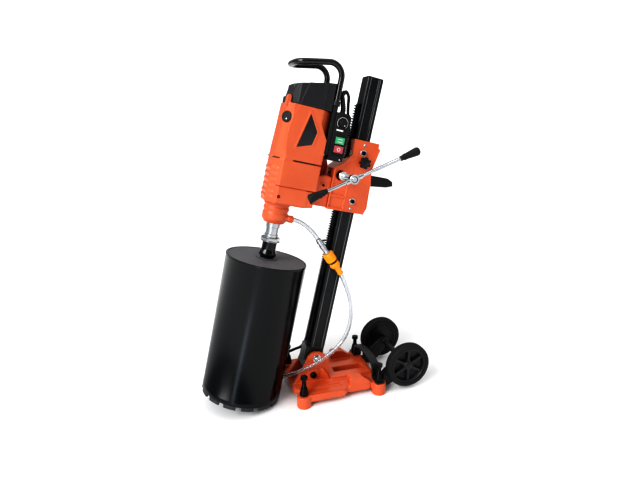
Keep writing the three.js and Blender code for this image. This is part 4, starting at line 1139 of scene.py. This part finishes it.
barrel_paint = finish("gloss_black_barrel_enamel", "#0c0d0f", "#101113", 0.2, 2.4,
                      0.04, 140, {"IOR": 1.45})
barrel = bmesh.new()
turned(barrel, [(120.5, BIT_LOW + 11), (BIT_R, BIT_LOW + 11), (BIT_R, BIT_LOW + 26),
                (124.4, BIT_LOW + 26.8), (124.4, BIT_TOP - 8), (BIT_R, BIT_TOP - 7),
                (BIT_R, BIT_TOP - 1.2), (123.8, BIT_TOP), (119, BIT_TOP),
                (118, BIT_TOP - 0.9), (34, BIT_TOP - 0.9), (33, BIT_TOP),
                (0, BIT_TOP), (0, BIT_TOP - 10), (120.5, BIT_TOP - 10)],
       bit_axis, ALONG, 128)
segment = bmesh.new()
SEGMENTS, STEPS, WATER_SLOT = 14, 8, 17
half = math.pi / SEGMENTS - WATER_SLOT / 2 / BIT_R
arc = [(-half + 2 * half * k / STEPS) for k in range(STEPS + 1)]
prism(segment, [(BIT_R * math.cos(a), BIT_R * math.sin(a)) for a in arc]
      + [(118.9 * math.cos(a), 118.9 * math.sin(a)) for a in reversed(arc)],
      BIT_LOW + 0.1, BIT_LOW + 11.6, local)
rounded_edges(segment, 0.6)
sintered = finish("sintered_diamond_segment", "#3b3b3d", "#4a4a4b", 0.55, 0.5, 0.2, 8,
                  {"Metallic": 0.5})
crown = bmesh.new()
half_pitch = Matrix.Rotation(math.pi / SEGMENTS, 4, "Z")
repeated(crown, segment, sintered, SEGMENTS, turn=360 / SEGMENTS,
         at=upright(bit_axis, ALONG, AHEAD) @ half_pitch)
# The barrel's up-facing top faces get a lighter matt grey: painted light falling on the top.
lit_top_grey = finish("scuffed_black_paint", "#68686a", "#727274", 0.65, 1.6, 0.05, 40)
barrel_piece = piece("barrel_tube", barrel, barrel_paint, "spindle", "core_barrel",
                     40)
barrel_piece.data.materials.append(lit_top_grey)
for face in barrel_piece.data.polygons:
    if face.normal.dot(ALONG) > 0.8 and (face.center - bit_axis).dot(ALONG) > 0.42:
        face.material_index = 1
piece("barrel_crown", crown, sintered, "spindle")

# ---------------------------------------------------------------- water line
# A short clear hose from the gearbox to a chromed ball valve with a tiny
# lever, then an amber snap connector with a black collar.
VALVE_FROM, VALVE_TO = on_column(110, 513, -52), on_column(14, 417, -60)
valve_way = (VALVE_TO - VALVE_FROM).normalized()
line_route = smooth_path([on_column(*p) for p in (
    (203.6, 556, -20), (190, 556, -20.5), (172, 554, -26), (150, 545, -37),
    (128, 530, -48.5), (111, 514, -51.9))])
line_mesh, line_length = clear_hose(line_route)
inlet_hose = piece("inlet_hose_tube", line_mesh, clear_pvc, "carriage", "water_line")
valve = bmesh.new()
turned(valve, [(0, 0.2), (7.6, 0.2), (8.4, 1), (8.4, 7.6), (10, 8.4), (10, 11.6),
               (8.2, 12.6), (8.2, 20.4), (10, 21.6), (10, 32), (8.6, 33.6),
               (8.6, 38), (7.6, 39), (7.6, 44), (8.6, 45), (8.6, 53.8), (0, 53.8)],
       VALVE_FROM, valve_way, 40)
tap_at = on_column(88, 500, -53)
turned(valve, [(0, 0), (3.4, 0), (3.4, 11), (0, 11)], tap_at, UP, 24)
piece("ball_valve_body", valve, chrome, "carriage", "water_valve")
tap = bmesh.new()
prism(tap, [(-3.8, -3.6), (11, -3), (13.4, 0), (11, 3), (-3.8, 3.6)], 11.1, 15.6,
      lambda u, v, w: tap_at + Vector((u, v, w)) * MM)
rounded_edges(tap, 0.9)
piece("ball_valve_lever", tap, abs_black, "carriage")
amber = finish("amber_acetal", "#f2a01f", "#ee9a1a", 0.3, 1.8, 0.02,
               shader={"Subsurface Weight": 0.12,
                       "Subsurface Radius": (0.004, 0.002, 0.001)})

# The ribbed snap connector, its black collar and its cap nut, in line.
SNAP = 54.6
shell = bmesh.new()
turned(shell, [(0, SNAP), (15.2, SNAP), (16.4, SNAP + 1.4), (16.4, SNAP + 28),
               (14.6, SNAP + 29.4), (0, SNAP + 29.4)], VALVE_FROM, valve_way, 48)
rib = bmesh.new()
prism(rib, [(16, -1.0), (17, -0.6), (17, 0.6), (16, 1.0)], SNAP + 3, SNAP + 26, local)
repeated(shell, rib, amber, 22, turn=360 / 22, at=upright(VALVE_FROM, valve_way))
piece("hose_connector_shell", shell, amber, "carriage", "hose_connector")
ring = bmesh.new()
turned(ring, [(0, 84), (11, 84), (11, 91), (0, 91)], VALVE_FROM, valve_way, 40)
piece("hose_connector_collar", ring, abs_black, "carriage")
capnut = bmesh.new()
turned(capnut, [(0, 91), (14.4, 91), (15, 92), (15, 103), (14, 104.6), (9.6, 111),
                (9, 113), (9, 134.4), (8, 135), (0, 135)], VALVE_FROM, valve_way, 40)
grip = bmesh.new()
prism(grip, [(14.6, -1.1), (15.6, -0.7), (15.6, 0.7), (14.6, 1.1)], 92.5, 102.5, local)
repeated(capnut, grip, amber, 16, turn=22.5, at=upright(VALVE_FROM, valve_way))
piece("hose_connector_nut", capnut, amber, "carriage")

# The tap coupling at the hose's far end lies on the coil.
heading = math.radians(66)
tap_way = Vector((math.cos(heading), math.sin(heading), 0))
tap_from = on_floor(HOSE_COIL[0] + 65, HOSE_COIL[1] - 37.5, 39.5)
coupling = bmesh.new()
turned(coupling, [(0, 0.2), (8.6, 0.2), (9.2, 1), (11.4, 4.2), (11.4, 31), (10.4, 32.8),
                  (8, 32.8), (8, 26), (0, 26)], tap_from, tap_way, 40)
rib = bmesh.new()
prism(rib, [(11, -0.8), (12, -0.5), (12, 0.5), (11, 0.8)], 6, 29, local)
repeated(coupling, rib, amber, 18, turn=20, at=upright(tap_from, tap_way))
piece("tap_coupling", coupling, amber, "column", "hose_end_coupling")

# ------------------------------------------------------- strain relief, plug
# A ribbed PVC sleeve guards the lead where it leaves the switch box, and the
# lead ends in a moulded two-pin plug.
moulded_pvc = finish("moulded_black_pvc", "#191919", "#1f1f20", 0.55, 0.9, 0.05)
relief_path = smooth_path([on_column(*p) for p in (
    (113, 890.5, -42), (113, 902, -42), (119, 926, -39), (122, 942, -34),
    (114, 952, -27))], 24)


def ridged(t):
    ripple = abs(math.sin(t * math.pi * 12))
    return (7.0 - 1.2 * t + 1.0 * ripple) * MM


relief = bmesh.new()
sweep(relief, relief_path, ridged, 28)
turned(relief, [(0, -0.2), (8.6, -0.2), (8.6, 3.6), (7.4, 5), (0, 5)],
       on_column(113, 890.4, -42), ALONG, 36)
piece("strain_relief_sleeve", relief, moulded_pvc, "carriage", "strain_relief")
plug_x, plug_y = CORD_COIL[0] - 52, CORD_COIL[1]
plug = bmesh.new()
prism(plug, [(-19, 38.2), (19, 38.2), (19, 53), (12.5, 61.6), (-12.5, 61.6),
             (-19, 53)], -21.6, 14,
      lambda u, z, v: on_floor(plug_x + u, plug_y + v, z))
rounded_edges(plug, 2.4, segments=3)
turned(plug, [(0, 0), (9, 0), (5.4, 9), (5.4, 12), (0, 12)],
       on_floor(plug_x, plug_y - 9.6, 48), TO_NEAR, 28)
for k in range(4):
    turned(plug, [(5.2, 0), (6.6, 0.4), (6.6, 1.6), (5.2, 2)],
           on_floor(plug_x, plug_y - 13 - 2.2 * k, 48), TO_NEAR, 24)
piece("mains_plug_moulding", plug, moulded_pvc, "column", "mains_plug")
pins = bmesh.new()
for side in (-1, 1):
    rod(pins, 2.2, on_floor(plug_x + side * 9.5, plug_y + 12, 48),
        on_floor(plug_x + side * 9.5, plug_y + 21.8, 48), 20)
piece("mains_plug_pins", pins, zinc_plate, "column")
